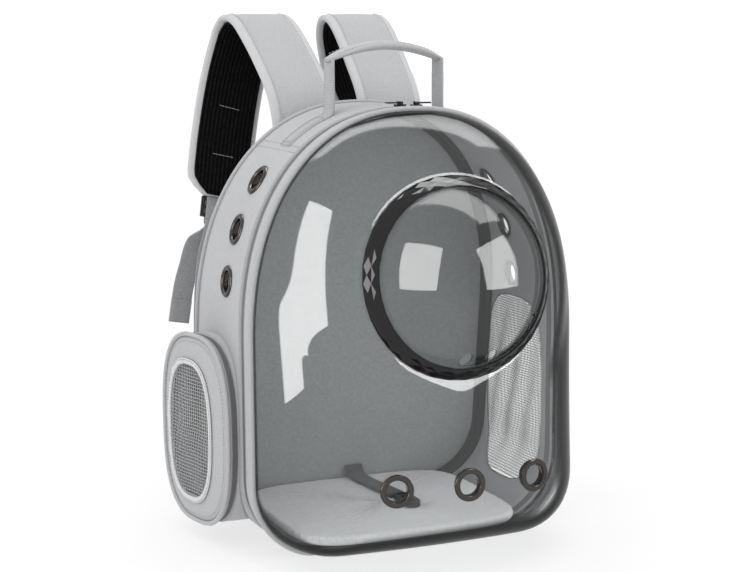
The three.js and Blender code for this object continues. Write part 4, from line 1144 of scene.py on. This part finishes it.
def flank_ring(margin, out):
    loop = rounded_loop(POCKET_HALF_DEPTH - margin, POCKET_HALF_HEIGHT - margin, POCKET_POWER, POCKET_POINTS)
    z = POCKET_HEIGHT + loop[:, 1]
    return np.stack([-flank_reach(z) - out, POCKET_DEPTH + loop[:, 0], z], 1)


def loop_normals(ring):
    """Normals that point away from a pocket loop's middle, in its own plane."""
    tangent = np.roll(ring, -1, 0) - np.roll(ring, 1, 0)
    normals = np.cross(tangent, POCKET_OUT)
    normals /= np.linalg.norm(normals, axis=1)[:, None]
    middle = ring.mean(0)
    flip = np.sum(normals * (ring - middle), axis=1) < 0
    normals[flip] *= -1
    return normals


POCKET_ZIP_TOP = -POCKET_WALL - POCKET_RIM_DEPTH - SEAM_GAP
POCKET_WALL_TOP = POCKET_ZIP_TOP - POCKET_ZIP_DEPTH - SEAM_GAP


def window_ring(margin, out, count=POCKET_POINTS):
    window = POCKET_WINDOW
    loop = rounded_loop(window["half_width"] + margin, window["half_height"] + margin, window["power"], count)
    return pocket_point(window["across"] + loop[:, 0], window["up"] + loop[:, 1], out)


def pocket_body():
    batch = Batch()
    top, foot = pocket_ring(0, POCKET_WALL_TOP), flank_ring(0, 2 * SEAM_GAP)
    inner_top, inner_foot = pocket_ring(POCKET_WALL, POCKET_WALL_TOP), flank_ring(POCKET_WALL, 2 * SEAM_GAP)
    steps = 6
    rings = []
    for i in range(steps + 1):
        share = i / steps
        ring = mix(foot, top, share)
        rings.append(ring + 0.5 * math.sin(math.pi * share) * loop_normals(ring))
    rings += [inner_top, inner_foot]
    skin(batch, rings, True)
    line = mix(foot, top, 0.9)
    add_stitches(batch, line + 0.3 * loop_normals(line), loop_normals(line), True, 1)
    piece = batch.build("pocket_side", [LIGHT, THREAD], slot="light_fabric")
    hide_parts("pocket_wall")


def pocket_zip():
    batch = Batch()
    near = POCKET_ZIP_TOP - POCKET_ZIP_DEPTH
    middle = (near + POCKET_ZIP_TOP) / 2
    rings = [pocket_ring(0.8, near), pocket_ring(0.6, mix(near, middle, 0.6)), pocket_ring(1.0, middle),
             pocket_ring(0.6, mix(middle, POCKET_ZIP_TOP, 0.4)), pocket_ring(0.8, POCKET_ZIP_TOP),
             pocket_ring(0.8 + ZIP_TAPE, POCKET_ZIP_TOP), pocket_ring(0.8 + ZIP_TAPE, near)]
    skin(batch, rings, True)
    line = pocket_ring(0.9, middle)
    across = np.tile(POCKET_OUT, (len(line), 1))
    teeth_row(batch, line, loop_normals(line), across, 1, width=3.2, rise=1.0)
    piece = batch.build("pocket_zip_coil", [ZIP_TAPE_FINISH, TEETH], smooth=False, slot="zip")
    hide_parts("pocket_zip")


def pocket_edge():
    batch = Batch()
    near, far = -POCKET_WALL - POCKET_RIM_DEPTH, -POCKET_WALL
    skin(batch, [pocket_ring(0, near), pocket_ring(-0.3, (near + far) / 2), pocket_ring(0, far),
                 pocket_ring(POCKET_WALL, far), pocket_ring(POCKET_WALL, near)], True)
    piece = batch.build("pocket_edge", [LIGHT], slot="light_fabric")
    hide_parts("pocket_rim")
    batch = Batch()
    rings = []
    for k in range(10):
        turn = TAU * k / 10
        out = SEAM_GAP + POCKET_PIPING * (1 + math.sin(turn)) - POCKET_WALL
        rings.append(pocket_ring(-POCKET_PIPING * math.cos(turn), out))
    skin(batch, rings, True)
    piece = batch.build("pocket_cord", [LIGHT], slot="light_fabric")
    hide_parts("pocket_piping")


def pocket_front():
    """Cloth round the pocket's window, crowned a little between the piping and the tape."""
    batch = Batch()
    margin = POCKET_PIPING + SEAM_GAP
    outer, inner = pocket_ring(margin, 0), window_ring(0, 0)
    steps = 8
    rings = []
    for i in range(steps + 1):
        share = i / steps
        ring = mix(outer, inner, share)
        rings.append(ring + 0.9 * math.sin(math.pi * min(share * 1.3, 1)) * POCKET_OUT)
    rings += [window_ring(0, -POCKET_WALL + SEAM_GAP), pocket_ring(margin, -POCKET_WALL + SEAM_GAP)]
    skin(batch, rings, True)
    line = mix(outer, inner, 0.16)
    normals = np.tile(POCKET_OUT, (len(line), 1))
    add_stitches(batch, line + 0.6 * POCKET_OUT, normals, True, 1)
    piece = batch.build("pocket_front", [LIGHT, THREAD], slot="light_fabric")
    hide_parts("pocket_face")


def pocket_tape():
    """Flat binding round the window, its free edge a little uneven."""
    batch = Batch()
    turn = np.arange(POCKET_POINTS) * TAU / POCKET_POINTS
    wave = (0.25 * np.sin(turn * 17) + 0.2 * np.sin(turn * 7 + 1))[:, None] * POCKET_OUT
    top = SEAM_GAP + POCKET_TAPE + 0.6
    rings = [window_ring(-0.2, SEAM_GAP), window_ring(POCKET_TAPE_WIDTH, SEAM_GAP + 0.6),
             window_ring(POCKET_TAPE_WIDTH + 0.3, SEAM_GAP + 1.1),
             window_ring(POCKET_TAPE_WIDTH - 0.3, top),
             window_ring(POCKET_TAPE_WIDTH * 0.5, top - 0.1) + wave, window_ring(0.6, top),
             window_ring(-0.4, top - 0.5), window_ring(-0.5, SEAM_GAP + 0.3)]
    skin(batch, rings, True)
    line = window_ring(POCKET_TAPE_WIDTH - 1.2, top)
    add_stitches(batch, line, np.tile(POCKET_OUT, (len(line), 1)), True, 1, pitch=3.0)
    piece = batch.build("pocket_window_binding", [TAPE, THREAD], slot="light_fabric")
    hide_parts("pocket_window_tape")


def pocket_net():
    window = POCKET_WINDOW

    def surface(across, up, lift):
        a = (across - window["across"]) / window["half_width"]
        b = (up - window["up"]) / window["half_height"]
        hang = np.clip(1 - np.abs(a) ** 2.3, 0, 1) * np.clip(1 - np.abs(b) ** 2.3, 0, 1)
        ripple = 0.9 * np.sin(a * 5.2 + b * 1.5) + 0.6 * np.sin(b * 7 + 0.5)
        return pocket_point(across, up, 1.2 * hang + hang * ripple - 0.9 + lift)

    batch = Batch()
    half = (window["half_width"] - SEAM_GAP, window["half_height"] - SEAM_GAP)
    centre = (window["across"], window["up"])
    inside = loop_test(*half, window["power"], centre)
    low = (centre[0] - half[0], centre[1] - half[1])
    high = (centre[0] + half[0], centre[1] + half[1])
    for direction in (0, 1):
        add_strands(batch, surface, inside, low, high, 3.4, 0.41, direction)
    edge = window_ring(-SEAM_GAP - 0.5, -0.9)
    add_tube(batch, edge, 0.55, 5, True)
    piece = batch.build("pocket_window_net", [NET], slot="net")
    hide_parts("pocket_mesh")


pocket_body()
pocket_zip()
pocket_edge()
pocket_front()
pocket_tape()
pocket_net()


# Straps, webbing and tails

class Route:
    """Centripetal Catmull-Rom curve through points, as the solids' bands follow it."""

    def __init__(self, points):
        self.points = np.array(points, float)

    def point(self, share):
        points = self.points
        last = len(points) - 1
        reach = share * last
        i = min(int(reach), last - 1)
        w = reach - i
        p1, p2 = points[i], points[i + 1]
        p0 = points[i - 1] if i > 0 else 2 * points[0] - points[1]
        p3 = points[i + 2] if i + 2 <= last else 2 * points[last] - points[last - 1]
        d0, d1, d2 = (max(np.linalg.norm(b - a) ** 0.5, 1e-4) for a, b in ((p0, p1), (p1, p2), (p2, p3)))
        t1 = ((p1 - p0) / d0 - (p2 - p0) / (d0 + d1) + (p2 - p1) / d1) * d1
        t2 = ((p2 - p1) / d1 - (p3 - p1) / (d1 + d2) + (p3 - p2) / d2) * d1
        return (p1 + w * t1 + w * w * (-3 * p1 + 3 * p2 - 2 * t1 - t2)
                + w ** 3 * (2 * p1 - 2 * p2 + t1 + t2))

    def frame(self, share):
        """Place and directions along, across and through the band."""
        low, high = max(share - 1e-4, 0), min(share + 1e-4, 1)
        along = self.point(high) - self.point(low)
        along /= np.linalg.norm(along)
        wide = np.array([1.0, 0, 0]) - along * along[0]
        wide /= np.linalg.norm(wide)
        return self.point(share), along, wide, np.cross(along, wide)


STRAP_SEAT = BACK_PADDING + STRAP_THICKNESS / 2 + 3 * SEAM_GAP
# Routes as distance outwards from the middle, depth behind the back's sewn face, and height
STRAPS = {
    "left": {
        "strap": [
            (46, STRAP_SEAT, 372), (47, STRAP_SEAT, 390), (48, 30.9, 424),
            (50, 70, 458), (53, 114.7, 489), (54, 134.9, 499), (56, 151.4, 503), (58, 164.9, 499),
            (61, 171.4, 487), (66, 170.4, 470), (78, 159.1, 434), (95, 133.2, 378), (111, 101, 318),
        ],
        "webbing": [(128, 78, 258), (139, 54, 205), (144, 30, 150), (143, 15.8, 115)],
        "tail": [(134, 98, 272), (142, 97, 248), (149, 93, 226), (156, 87, 188)],
    },
    "right": {
        "strap": [
            (46, STRAP_SEAT, 372), (47, STRAP_SEAT, 390), (48, 30.9, 424),
            (50, 70, 458), (53, 114.7, 489), (54, 134.9, 499), (54, 151.4, 503), (55, 164.9, 499),
            (56, 171.4, 487), (58, 170.4, 470), (64, 159.1, 434), (80, 133.2, 385), (97, 103.6, 330),
        ],
        "webbing": [(114, 82.4, 270), (131, 55.2, 210), (143, 30, 150), (143, 15.8, 115)],
        "tail": [(113, 99.6, 280), (121, 98, 250), (127, 94.4, 222), (130, 88.8, 190)],
    },
}


def route_points(rows):
    return [(-out, back_depth(height) + behind, height) for out, behind, height in rows]


def band(route, section, stations, offset=0.0, tip=0.0, mirror=1, section_slots=0):
    """A section swept along a route. The section is (across, through) pairs, across as a share
    of the band's half width times width, given at each station by the section function."""
    curve = Route(route)
    rings, uvs = [], []
    reach = 0.0
    before = None
    for i in range(stations + 1):
        share = i / stations
        centre, _, wide, thick = curve.frame(share)
        left_over = min(np.linalg.norm(centre - curve.points[-1]) / tip, 1) if tip else 1
        narrow = max(math.sqrt(max(1 - (1 - left_over) ** 2, 0)), TIP_SHARE)
        if before is not None:
            reach += np.linalg.norm(centre - before)
        before = centre
        pairs = section(narrow)
        ring = np.array([centre + u * wide + (v + offset) * thick for u, v in pairs])
        ring[:, 0] *= mirror
        rings.append(ring)
        uvs += [(u, reach) for u, _ in pairs]
    batch = Batch()
    columns = len(rings[0])
    faces = grid_faces(len(rings), columns)
    if isinstance(section_slots, (list, tuple)):
        slots = [section_slots[i % columns] for i in range(len(faces))]
    else:
        slots = [section_slots] * len(faces)
    faces.append(list(range(columns))[::-1])
    faces.append([(len(rings) - 1) * columns + c for c in range(columns)])
    slots += [slots[0], slots[0]]
    batch.add(np.concatenate(rings), faces, slots, uvs)
    return batch, curve


def pad_section(narrow):
    """Cross-section of the padded strap with its bindings standing proud at both edges."""
    half = STRAP_WIDTH / 2 * narrow
    inner = max(half - BINDING_WIDTH, half * 0.25)
    top = STRAP_THICKNESS / 2
    return [
        (half, 0), (half - 0.5, 1.9), (half - 2.2, 3.2), (inner + 0.8, top - 0.2), (inner, top - 0.9),
        (inner - 2, top - 0.5), (inner * 0.5, top), (0, top), (-inner * 0.5, top), (2 - inner, top - 0.5),
        (-inner, top - 0.9), (-inner - 0.8, top - 0.2), (2.2 - half, 3.2), (0.5 - half, 1.9), (-half, 0),
        (0.5 - half, -1.9), (2.2 - half, -3.4), (6 - half, -top), (0, -top), (half - 6, -top),
        (half - 2.2, -3.4), (half - 0.5, -1.9),
    ]


PAD_SLOTS = [1, 1, 1, 1, 0, 0, 0, 0, 0, 0, 1, 1, 1, 1, 1, 1, 1, 0, 0, 1, 1, 1]


def flat_section(width, thickness, edge=0.7):
    def section(narrow):
        half, rise = width / 2 * narrow, thickness / 2
        edge_in = min(edge, rise)
        return [
            (half, 0), (half - edge_in * 0.3, rise * 0.75), (half - edge_in, rise), (half * 0.4, rise),
            (-half * 0.4, rise), (edge_in - half, rise), (edge_in * 0.3 - half, rise * 0.75), (-half, 0),
            (edge_in * 0.3 - half, -rise * 0.75), (edge_in - half, -rise), (-half * 0.4, -rise),
            (half * 0.4, -rise), (half - edge_in, -rise), (half - edge_in * 0.3, -rise * 0.75),
        ]
    return section


def band_line(curve, across, lift, shares, mirror, narrow_tip=0.0):
    points, normals = [], []
    for share in shares:
        centre, _, wide, thick = curve.frame(share)
        narrow = 1.0
        if narrow_tip:
            left_over = min(np.linalg.norm(centre - curve.points[-1]) / narrow_tip, 1)
            narrow = max(math.sqrt(max(1 - (1 - left_over) ** 2, 0)), TIP_SHARE)
        sign = 1 if across > 0 else -1
        reach = across + sign * STRAP_WIDTH / 2 * (narrow - 1)
        point = centre + reach * wide + lift * thick
        normal = thick * (1 if lift > 0 else -1)
        points.append(point * [mirror, 1, 1])
        normals.append(normal * [mirror, 1, 1])
    return np.array(points), np.array(normals)


BAR_TACKS = {"shares": (0.875, 0.945), "half": 11, "pitch": 2.7}


def shoulder_strap(side, routes):
    mirror = 1 if side == "left" else -1
    strap = route_points(routes["strap"])
    flip = -1
    section = lambda narrow: [(u, flip * v) for u, v in pad_section(narrow)]
    batch, curve = band(strap, section, 96, 0, STRAP_TIP, mirror, PAD_SLOTS)
    shares = np.linspace(0.01, 0.985, 150)
    for across in (STRAP_WIDTH / 2 - BINDING_WIDTH + 1.4, BINDING_WIDTH - 1.4 - STRAP_WIDTH / 2):
        lift = flip * (STRAP_THICKNESS / 2 + 0.1)
        points, normals = band_line(curve, across, lift, shares, mirror, STRAP_TIP)
        add_stitches(batch, points, normals, False, 2)
    piece = batch.build(f"{side}_strap_cushion", [LIGHT, BINDING, THREAD], slot="light_fabric")
    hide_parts(f"{side}_strap_pad")
    offset = (STRAP_THICKNESS + AIR_MESH) / 2 + LAYER_GAP
    batch, curve = band(strap, flat_section(AIR_MESH_WIDTH, AIR_MESH, 1.4), 96, offset, STRAP_TIP, mirror)
    surface = offset + AIR_MESH / 2 + 0.1
    for share in BAR_TACKS["shares"]:
        centre, _, wide, thick = curve.frame(share)
        line = [centre + u * wide + surface * thick for u in (-BAR_TACKS["half"], 0, BAR_TACKS["half"])]
        add_stitches(batch, np.array(line) * [mirror, 1, 1], np.tile(thick * [mirror, 1, 1], (3, 1)),
                     False, 1, pitch=BAR_TACKS["pitch"])
    piece = batch.build(f"{side}_strap_lining", [SPACER, THREAD], slot="spacer_mesh")
    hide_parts(f"{side}_strap_mesh")
    return mirror, strap


HEM_START = 0.9
HEM_SEAM = 0.905


def strap_webbing(side, routes, mirror, strap):
    tip, along, wide, thick = Route(strap).frame(1.0)
    beyond = lambda reach, through: tip + reach * along - through * thick
    glide_out = WEBBING / 2 + LAYER_GAP + GLIDE_THICKNESS / 2
    tail_out = glide_out + GLIDE_THICKNESS / 2 + LAYER_GAP + WEBBING / 2
    straight = lambda start, through: [
        beyond(reach, through) for reach in (start, GLIDE_HEIGHT + 4 * SEAM_GAP, 1.5 * GLIDE_HEIGHT)
    ]
    out, height = WEBBING_FOOT
    foot = (-out, back_depth(height) + BACK_PADDING + WEBBING / 2 + 2 * SEAM_GAP, height)
    webbing = straight(2 * SEAM_GAP, 0) + route_points(routes["webbing"]) + [foot]
    tail = straight(GLIDE_BAR, tail_out) + route_points(routes["tail"])
    batch, _ = band(webbing, flat_section(WEBBING_WIDTH, WEBBING), 90, mirror=mirror)
    piece = batch.build(f"{side}_webbing_band", [WEBBING_FINISH], slot="webbing")
    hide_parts(f"{side}_webbing")
    batch, curve = band(tail, flat_section(WEBBING_WIDTH, WEBBING), 80, mirror=mirror)
    hem, _ = band([curve.point(HEM_START), curve.point((HEM_START + 1) / 2), curve.point(1.0)],
                  flat_section(WEBBING_WIDTH + 0.4, WEBBING + 1.6), 10, mirror=mirror)
    batch.add(np.concatenate(hem.vertices), hem.faces, 0, np.concatenate(hem.uvs))
    centre, _, wide, thick = curve.frame(HEM_SEAM)
    for lift in (-1, 1):
        line = np.array([centre + u * wide + lift * 1.75 * thick for u in (-9, 0, 9)]) * [mirror, 1, 1]
        add_stitches(batch, line, np.tile(lift * thick * [mirror, 1, 1], (3, 1)), False, 1)
    piece = batch.build(f"{side}_tail_band", [WEBBING_FINISH, THREAD], slot="webbing")
    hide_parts(f"{side}_strap_tail")


for side_name, strap_routes in STRAPS.items():
    strap_mirror, strap_points = shoulder_strap(side_name, strap_routes)
    strap_webbing(side_name, strap_routes, strap_mirror, strap_points)


# Carry handle

ANCHOR_START = 6


def handle_webbing(side):
    lift = HANDLE_WEBBING / 2 + 2 * SEAM_GAP
    spine = [(HANDLE_SPAN, HANDLE_SHOULDER + 1), (HANDLE_SPAN, HANDLE_SHOULDER - GRIP_THICKNESS / 2),
             (HANDLE_SPAN, arch_height(HANDLE_SPAN) + lift + 26),
             (HANDLE_SPAN, arch_height(HANDLE_SPAN) + lift + 6),
             (HANDLE_SPAN + 2, arch_height(HANDLE_SPAN + 2) + lift + 1)]
    for i in range(1, 13):
        x = HANDLE_SPAN + 2 + (ANCHOR_REACH - 2) * i / 12
        spine.append((x, arch_height(x) + lift))
    points = np.array([(side * x, HANDLE_DEPTH, z) for x, z in spine], float)
    rings, uvs, normals = [], [], []
    reach = 0.0
    for i, point in enumerate(points):
        tangent = points[min(i + 1, len(points) - 1)] - points[max(i - 1, 0)]
        tangent /= np.linalg.norm(tangent)
        thick = np.cross([0, 1.0, 0], tangent)
        reach += np.linalg.norm(point - points[max(i - 1, 0)])
        half, rise = HANDLE_WEBBING_WIDTH / 2, HANDLE_WEBBING / 2
        pairs = ((half, 0), (half - 0.5, rise), (0, rise), (0.5 - half, rise),
                 (-half, 0), (0.5 - half, -rise), (0, -rise), (half - 0.5, -rise))
        rings.append(np.array([point + np.array([0, u, 0]) + v * thick for u, v in pairs]))
        uvs += [(u, reach) for u, _ in pairs]
        normals.append(thick * np.sign(thick[2] if abs(thick[2]) > 0.05 else side))
    batch = Batch()
    skin(batch, rings, False, 0, uvs)
    normals = np.array(normals)
    anchor = points[ANCHOR_START:]
    for across in (-9.5, 9.5):
        line = anchor + [0, across, 0] + 1.15 * normals[ANCHOR_START:]
        add_stitches(batch, line, normals[ANCHOR_START:], False, 1, pitch=3.0)
    for i in (ANCHOR_START, len(points) - 2):
        line = np.array([points[i] + [0, u, 0] + 1.15 * normals[i] for u in (-9.5, 0, 9.5)])
        add_stitches(batch, line, np.tile(normals[i], (3, 1)), False, 1, pitch=3.0)
    name = "left" if side < 0 else "right"
    piece = batch.build(f"{name}_handle_band", [HANDLE_FINISH, THREAD], slot="webbing")
    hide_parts(f"{name}_handle_webbing")


END_THICKNESS = 0.55


def handle_grip():
    """Padded sleeve folded round the webbing, its long seam underneath."""
    stations = 40
    reach = HANDLE_SPAN + HANDLE_WEBBING
    crest = HANDLE_TOP - GRIP_THICKNESS / 2
    rings = []
    for i in range(stations + 1):
        share = 2 * i / stations - 1
        fade = max(math.sqrt(max(1 - abs(share) ** 6, 0)), 0.5)
        z = mix(crest, HANDLE_SHOULDER, share * share)
        turn = np.arange(24) / 24 * TAU
        c, s = np.cos(turn), np.sin(turn)
        across = np.sign(c) * np.abs(c) ** 0.8 * GRIP_WIDTH / 2 * fade
        thick = GRIP_THICKNESS / 2 * mix(1, END_THICKNESS, abs(share) ** 2.5)
        up = np.sign(s) * np.abs(s) ** 0.9 * thick
        rings.append(np.stack([np.full(24, share * reach), HANDLE_DEPTH + across, z + up], 1))
    batch = Batch()
    skin(batch, rings)
    for depth in (-11.5, 11.5):
        shares = np.linspace(-0.9, 0.9, 50)
        z = mix(crest, HANDLE_SHOULDER, shares ** 2) + GRIP_THICKNESS / 2 * 0.55
        line = np.stack([shares * reach, np.full(50, HANDLE_DEPTH + depth), z + 0.4], 1)
        add_stitches(batch, line, np.tile([0, math.copysign(0.4, depth), 1.0], (50, 1)), False, 1)
    piece = batch.build("handle_sleeve", [LIGHT, THREAD], slot="light_fabric")
    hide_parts("handle_grip")


handle_webbing(-1)
handle_webbing(1)
handle_grip()


# Hard trim that keeps its solids, with its edges eased

def ease(name, material, width):
    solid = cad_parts[name]
    solid.data.materials.clear()
    solid.data.materials.append(material)
    edges = solid.modifiers.new("eased", "BEVEL")
    edges.width = width
    edges.segments = 2
    edges.limit_method = "ANGLE"
    edges.angle_limit = math.radians(35)


for trim, finish, width, slot in (
    ("left_glide", DULL_BLACK, 0.0006, "black_plastic"),
    ("right_glide", DULL_BLACK, 0.0006, "black_plastic"),
    ("left_zip_slider", GLOSS, 0.0004, "black_plastic"),
    ("right_zip_slider", GLOSS, 0.0004, "black_plastic"),
    ("left_zip_pull", GLOSS, 0.0003, "black_plastic"),
    ("right_zip_pull", GLOSS, 0.0003, "black_plastic"),
    ("leash_hook", DULL_BLACK, 0.0008, "black_plastic"),
    ("floor_board", INNER, 0.0005, "inner_fabric"),
):
    ease(trim, finish, width)


# Inside: mat and leash

def fleece_mat():
    """Fleece pad with a soft uneven top and a serged, scalloped edge."""
    low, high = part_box("floor_mat")
    half_across = (high.x - low.x) / 2 / MM
    half_deep = (high.y - low.y) / 2 / MM
    middle = (high.y + low.y) / 2 / MM + SEAM_DEPTH
    foot, top = low.z / MM, high.z / MM
    count = 360
    rng = np.random.default_rng(7)
    scallop = 0.9 * np.sin(np.arange(count) / count * TAU * 96) + rng.normal(0, 0.25, count)
    tuft = rng.normal(0, 1, (24, count))
    rings = []

    def ring(margin, z, share=1.0, wave=0.0):
        loop = rounded_loop(half_across - margin, half_deep - margin, MAT_POWER, count)
        direction = loop / np.linalg.norm(loop, axis=1)[:, None]
        loop = loop * share + direction * (wave * scallop)[:, None]
        return np.stack([loop[:, 0], middle + loop[:, 1], np.broadcast_to(z, count)], 1)

    for share in (0.02, 0.35, 0.7, 0.93):
        rings.append(ring(MAT_THICKNESS / 4, foot, share))
    rings.append(ring(MAT_THICKNESS / 4, foot))
    rings.append(ring(1.3, mix(foot, top, 0.25), 1, 0.8))
    rings.append(ring(1.0, mix(foot, top, 0.55), 1, 1.0))
    rings.append(ring(1.6, mix(foot, top, 0.85), 1, 0.8))
    rings.append(ring(3.2, top - 0.6, 1, 0.4))
    shares = np.linspace(0.985, 0.02, 16)
    for k, share in enumerate(shares):
        rings.append(ring(3.2, top - 0.5 + 0.3 * tuft[k], share))
    batch = Batch()
    skin(batch, rings)
    piece = batch.build("fleece_pad", [FLEECE], slot="fleece")
    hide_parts("floor_mat")


def leash():
    low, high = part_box("floor_mat")
    top = high.z / MM
    height = top + 2 * SEAM_GAP + LEASH_THICKNESS / 2
    rise = height + LEASH_RUN["rise"]
    wall = back_depth(height)
    drift = LEASH_RUN["drift"]
    route = [
        (LEASH_PLACE, back_depth(rise) - 2 * SEAM_GAP - LEASH_THICKNESS / 2, rise),
        (LEASH_PLACE, wall - LEASH_RUN["fold"], height + LEASH_THICKNESS),
        (LEASH_PLACE + 0.1 * drift, wall - LEASH_RUN["bends"][0], height),
        (LEASH_PLACE + 0.5 * drift, wall - LEASH_RUN["bends"][1], height),
        (LEASH_PLACE + drift, wall - LEASH_RUN["end"], height),
    ]
    batch, curve = band(route, flat_section(LEASH_WIDTH, LEASH_THICKNESS), 60)
    for share in (0.8, 0.97):
        centre, _, wide, thick = curve.frame(share)
        lift = thick if thick[2] > 0 else -thick
        line = np.array([centre + u * wide + 1.6 * lift for u in (-8, 0, 8)])
        add_stitches(batch, line, np.tile(lift, (3, 1)), False, 1)
    piece = batch.build("leash_band", [LEASH_FINISH, DARK_CLOTH_AND_CORNER_SHADE], slot="webbing")
    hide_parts("leash_strap")


fleece_mat()
leash()


# Floor, room, lights and camera

def floor():
    bpy.ops.mesh.primitive_circle_add(vertices=96, radius=14, fill_type="NGON", location=(0, 0, -0.0004))
    ground = bpy.context.object
    ground.name = "ground"
    material, tree, output = new_material("pale_floor")
    shader = node(tree, "ShaderNodeBsdfPrincipled", {"Base Color": (0.9, 0.9, 0.9, 1), "Roughness": 0.7,
                                                     "Specular IOR Level": 0.2})
    mirrored = node(tree, "ShaderNodeLightPath").outputs["Is Glossy Ray"]
    strength = maths(tree, "SUBTRACT", 1.0, maths(tree, "MULTIPLY", mirrored, 1 - MIRRORED_GLOW))
    glow = node(tree, "ShaderNodeEmission", {"Color": (1, 1, 1, 1), "Strength": strength})
    mixed = node(tree, "ShaderNodeMixShader", {0: FLOOR_GLOW, 1: shader.outputs[0], 2: glow.outputs[0]})
    tree.links.new(mixed.outputs[0], output.inputs[0])
    ground.data.materials.append(material)


def room():
    """Even white light all round, with a dimmer room for mirror reflections."""
    world = bpy.data.worlds.new("studio")
    world.use_nodes = True
    tree = world.node_tree
    tree.nodes.clear()
    path = node(tree, "ShaderNodeLightPath")
    dimmed = maths(tree, "MULTIPLY", path.outputs["Is Glossy Ray"], ROOM_LEVEL - MIRRORED_LEVEL)
    glow = node(tree, "ShaderNodeBackground", {
        "Color": (1, 1, 1, 1), "Strength": maths(tree, "SUBTRACT", ROOM_LEVEL, dimmed),
    })
    node(tree, "ShaderNodeOutputWorld", {0: glow.outputs[0]})
    bpy.context.scene.world = world


def softbox(name, azimuth, elevation, level, shown_in=None, roll=0, reach=SOFTBOX_REACH):
    """Rectangular light that fills these spans of degrees as seen from the bag. Azimuth is 0 in
    front of the bag and grows to its right, and roll turns the light about its own axis. Without
    names it lights cloth only; with names it shows as a reflection in those pieces only, as a
    studio's flags would leave it."""
    middle = math.radians(sum(azimuth) / 2), math.radians(sum(elevation) / 2)
    spans = (math.radians(azimuth[1] - azimuth[0]), math.radians(elevation[1] - elevation[0]))
    size = [2 * reach * math.tan(span / 2) for span in spans]
    direction = Vector((
        math.sin(middle[0]) * math.cos(middle[1]), -math.cos(middle[0]) * math.cos(middle[1]),
        math.sin(middle[1]),
    ))
    light = bpy.data.lights.new(name, "AREA")
    light.shape = "RECTANGLE"
    light.size, light.size_y = size
    light.energy = level * size[0] * size[1] * math.pi
    lamp = bpy.data.objects.new(name, light)
    lamp.location = Vector(SOFTBOX_AIM) + reach * direction
    lamp.rotation_mode = "QUATERNION"
    turn = Quaternion(-direction, math.radians(roll))
    lamp.rotation_quaternion = turn @ (-direction).to_track_quat("-Z", "Y")
    lamp.visible_camera = False
    lamp.visible_diffuse = shown_in is None
    lamp.visible_glossy = shown_in is not None
    bpy.context.scene.collection.objects.link(lamp)
    if shown_in:
        seen = bpy.data.collections.new(f"{name}_shown_in")
        for piece in shown_in:
            seen.objects.link(bpy.data.objects[piece])
        lamp.light_linking.receiver_collection = seen


def lights():
    dome = ("dome_shell",)
    front = ("clear_front",)
    trim = ("cut_ring",) + tuple(f"eyelet_{name}" for name in GROMMETS)
    softbox("dome_left_box", (-74, -30), (-5, 44), 5.5, dome)
    softbox("dome_right_box", (22, 66), (-6, 38), 5.5, dome)
    softbox("front_left_box", (-98.0, -83.8), (-14.9, 37.3), 6.5, front, -10.1, 0.85)
    softbox("front_near_box", (19.4, 28.8), (0.8, 14), 6.0, front)
    softbox("front_top_box", (125, 195), (35, 62), 3.4, front)
    softbox("dome_top_box", (100, 170), (52, 84), 3.4, dome)
    softbox("trim_left_box", (-93, -76), (-20, 25), 5.0, trim)
    softbox("trim_top_box", (90, 160), (56, 84), 5.0, trim)
    softbox("left_fill", (-80, -40), (0, 50), 0.35)
    softbox("top_fill", (-40, 40), (55, 85), 0.4)


def camera():
    data = bpy.data.cameras.new("photo_camera")
    data.sensor_width = SENSOR
    data.lens = FOCAL_PIXELS / IMAGE[0] * SENSOR
    data.shift_x = (IMAGE[0] / 2 - PRINCIPAL[0]) / IMAGE[0]
    data.shift_y = (PRINCIPAL[1] - IMAGE[1] / 2) / IMAGE[0]
    eye = bpy.data.objects.new("photo_camera", data)
    back = Vector((
        math.sin(CAMERA_AZIMUTH) * math.cos(CAMERA_ELEVATION),
        -math.cos(CAMERA_AZIMUTH) * math.cos(CAMERA_ELEVATION),
        math.sin(CAMERA_ELEVATION),
    ))
    eye.location = CAMERA_PLACE
    eye.rotation_mode = "QUATERNION"
    eye.rotation_quaternion = (-back).to_track_quat("-Z", "Y")
    bpy.context.scene.collection.objects.link(eye)
    bpy.context.scene.camera = eye


floor()
room()
lights()
camera()
bpy.context.scene.view_settings.view_transform = "Standard"
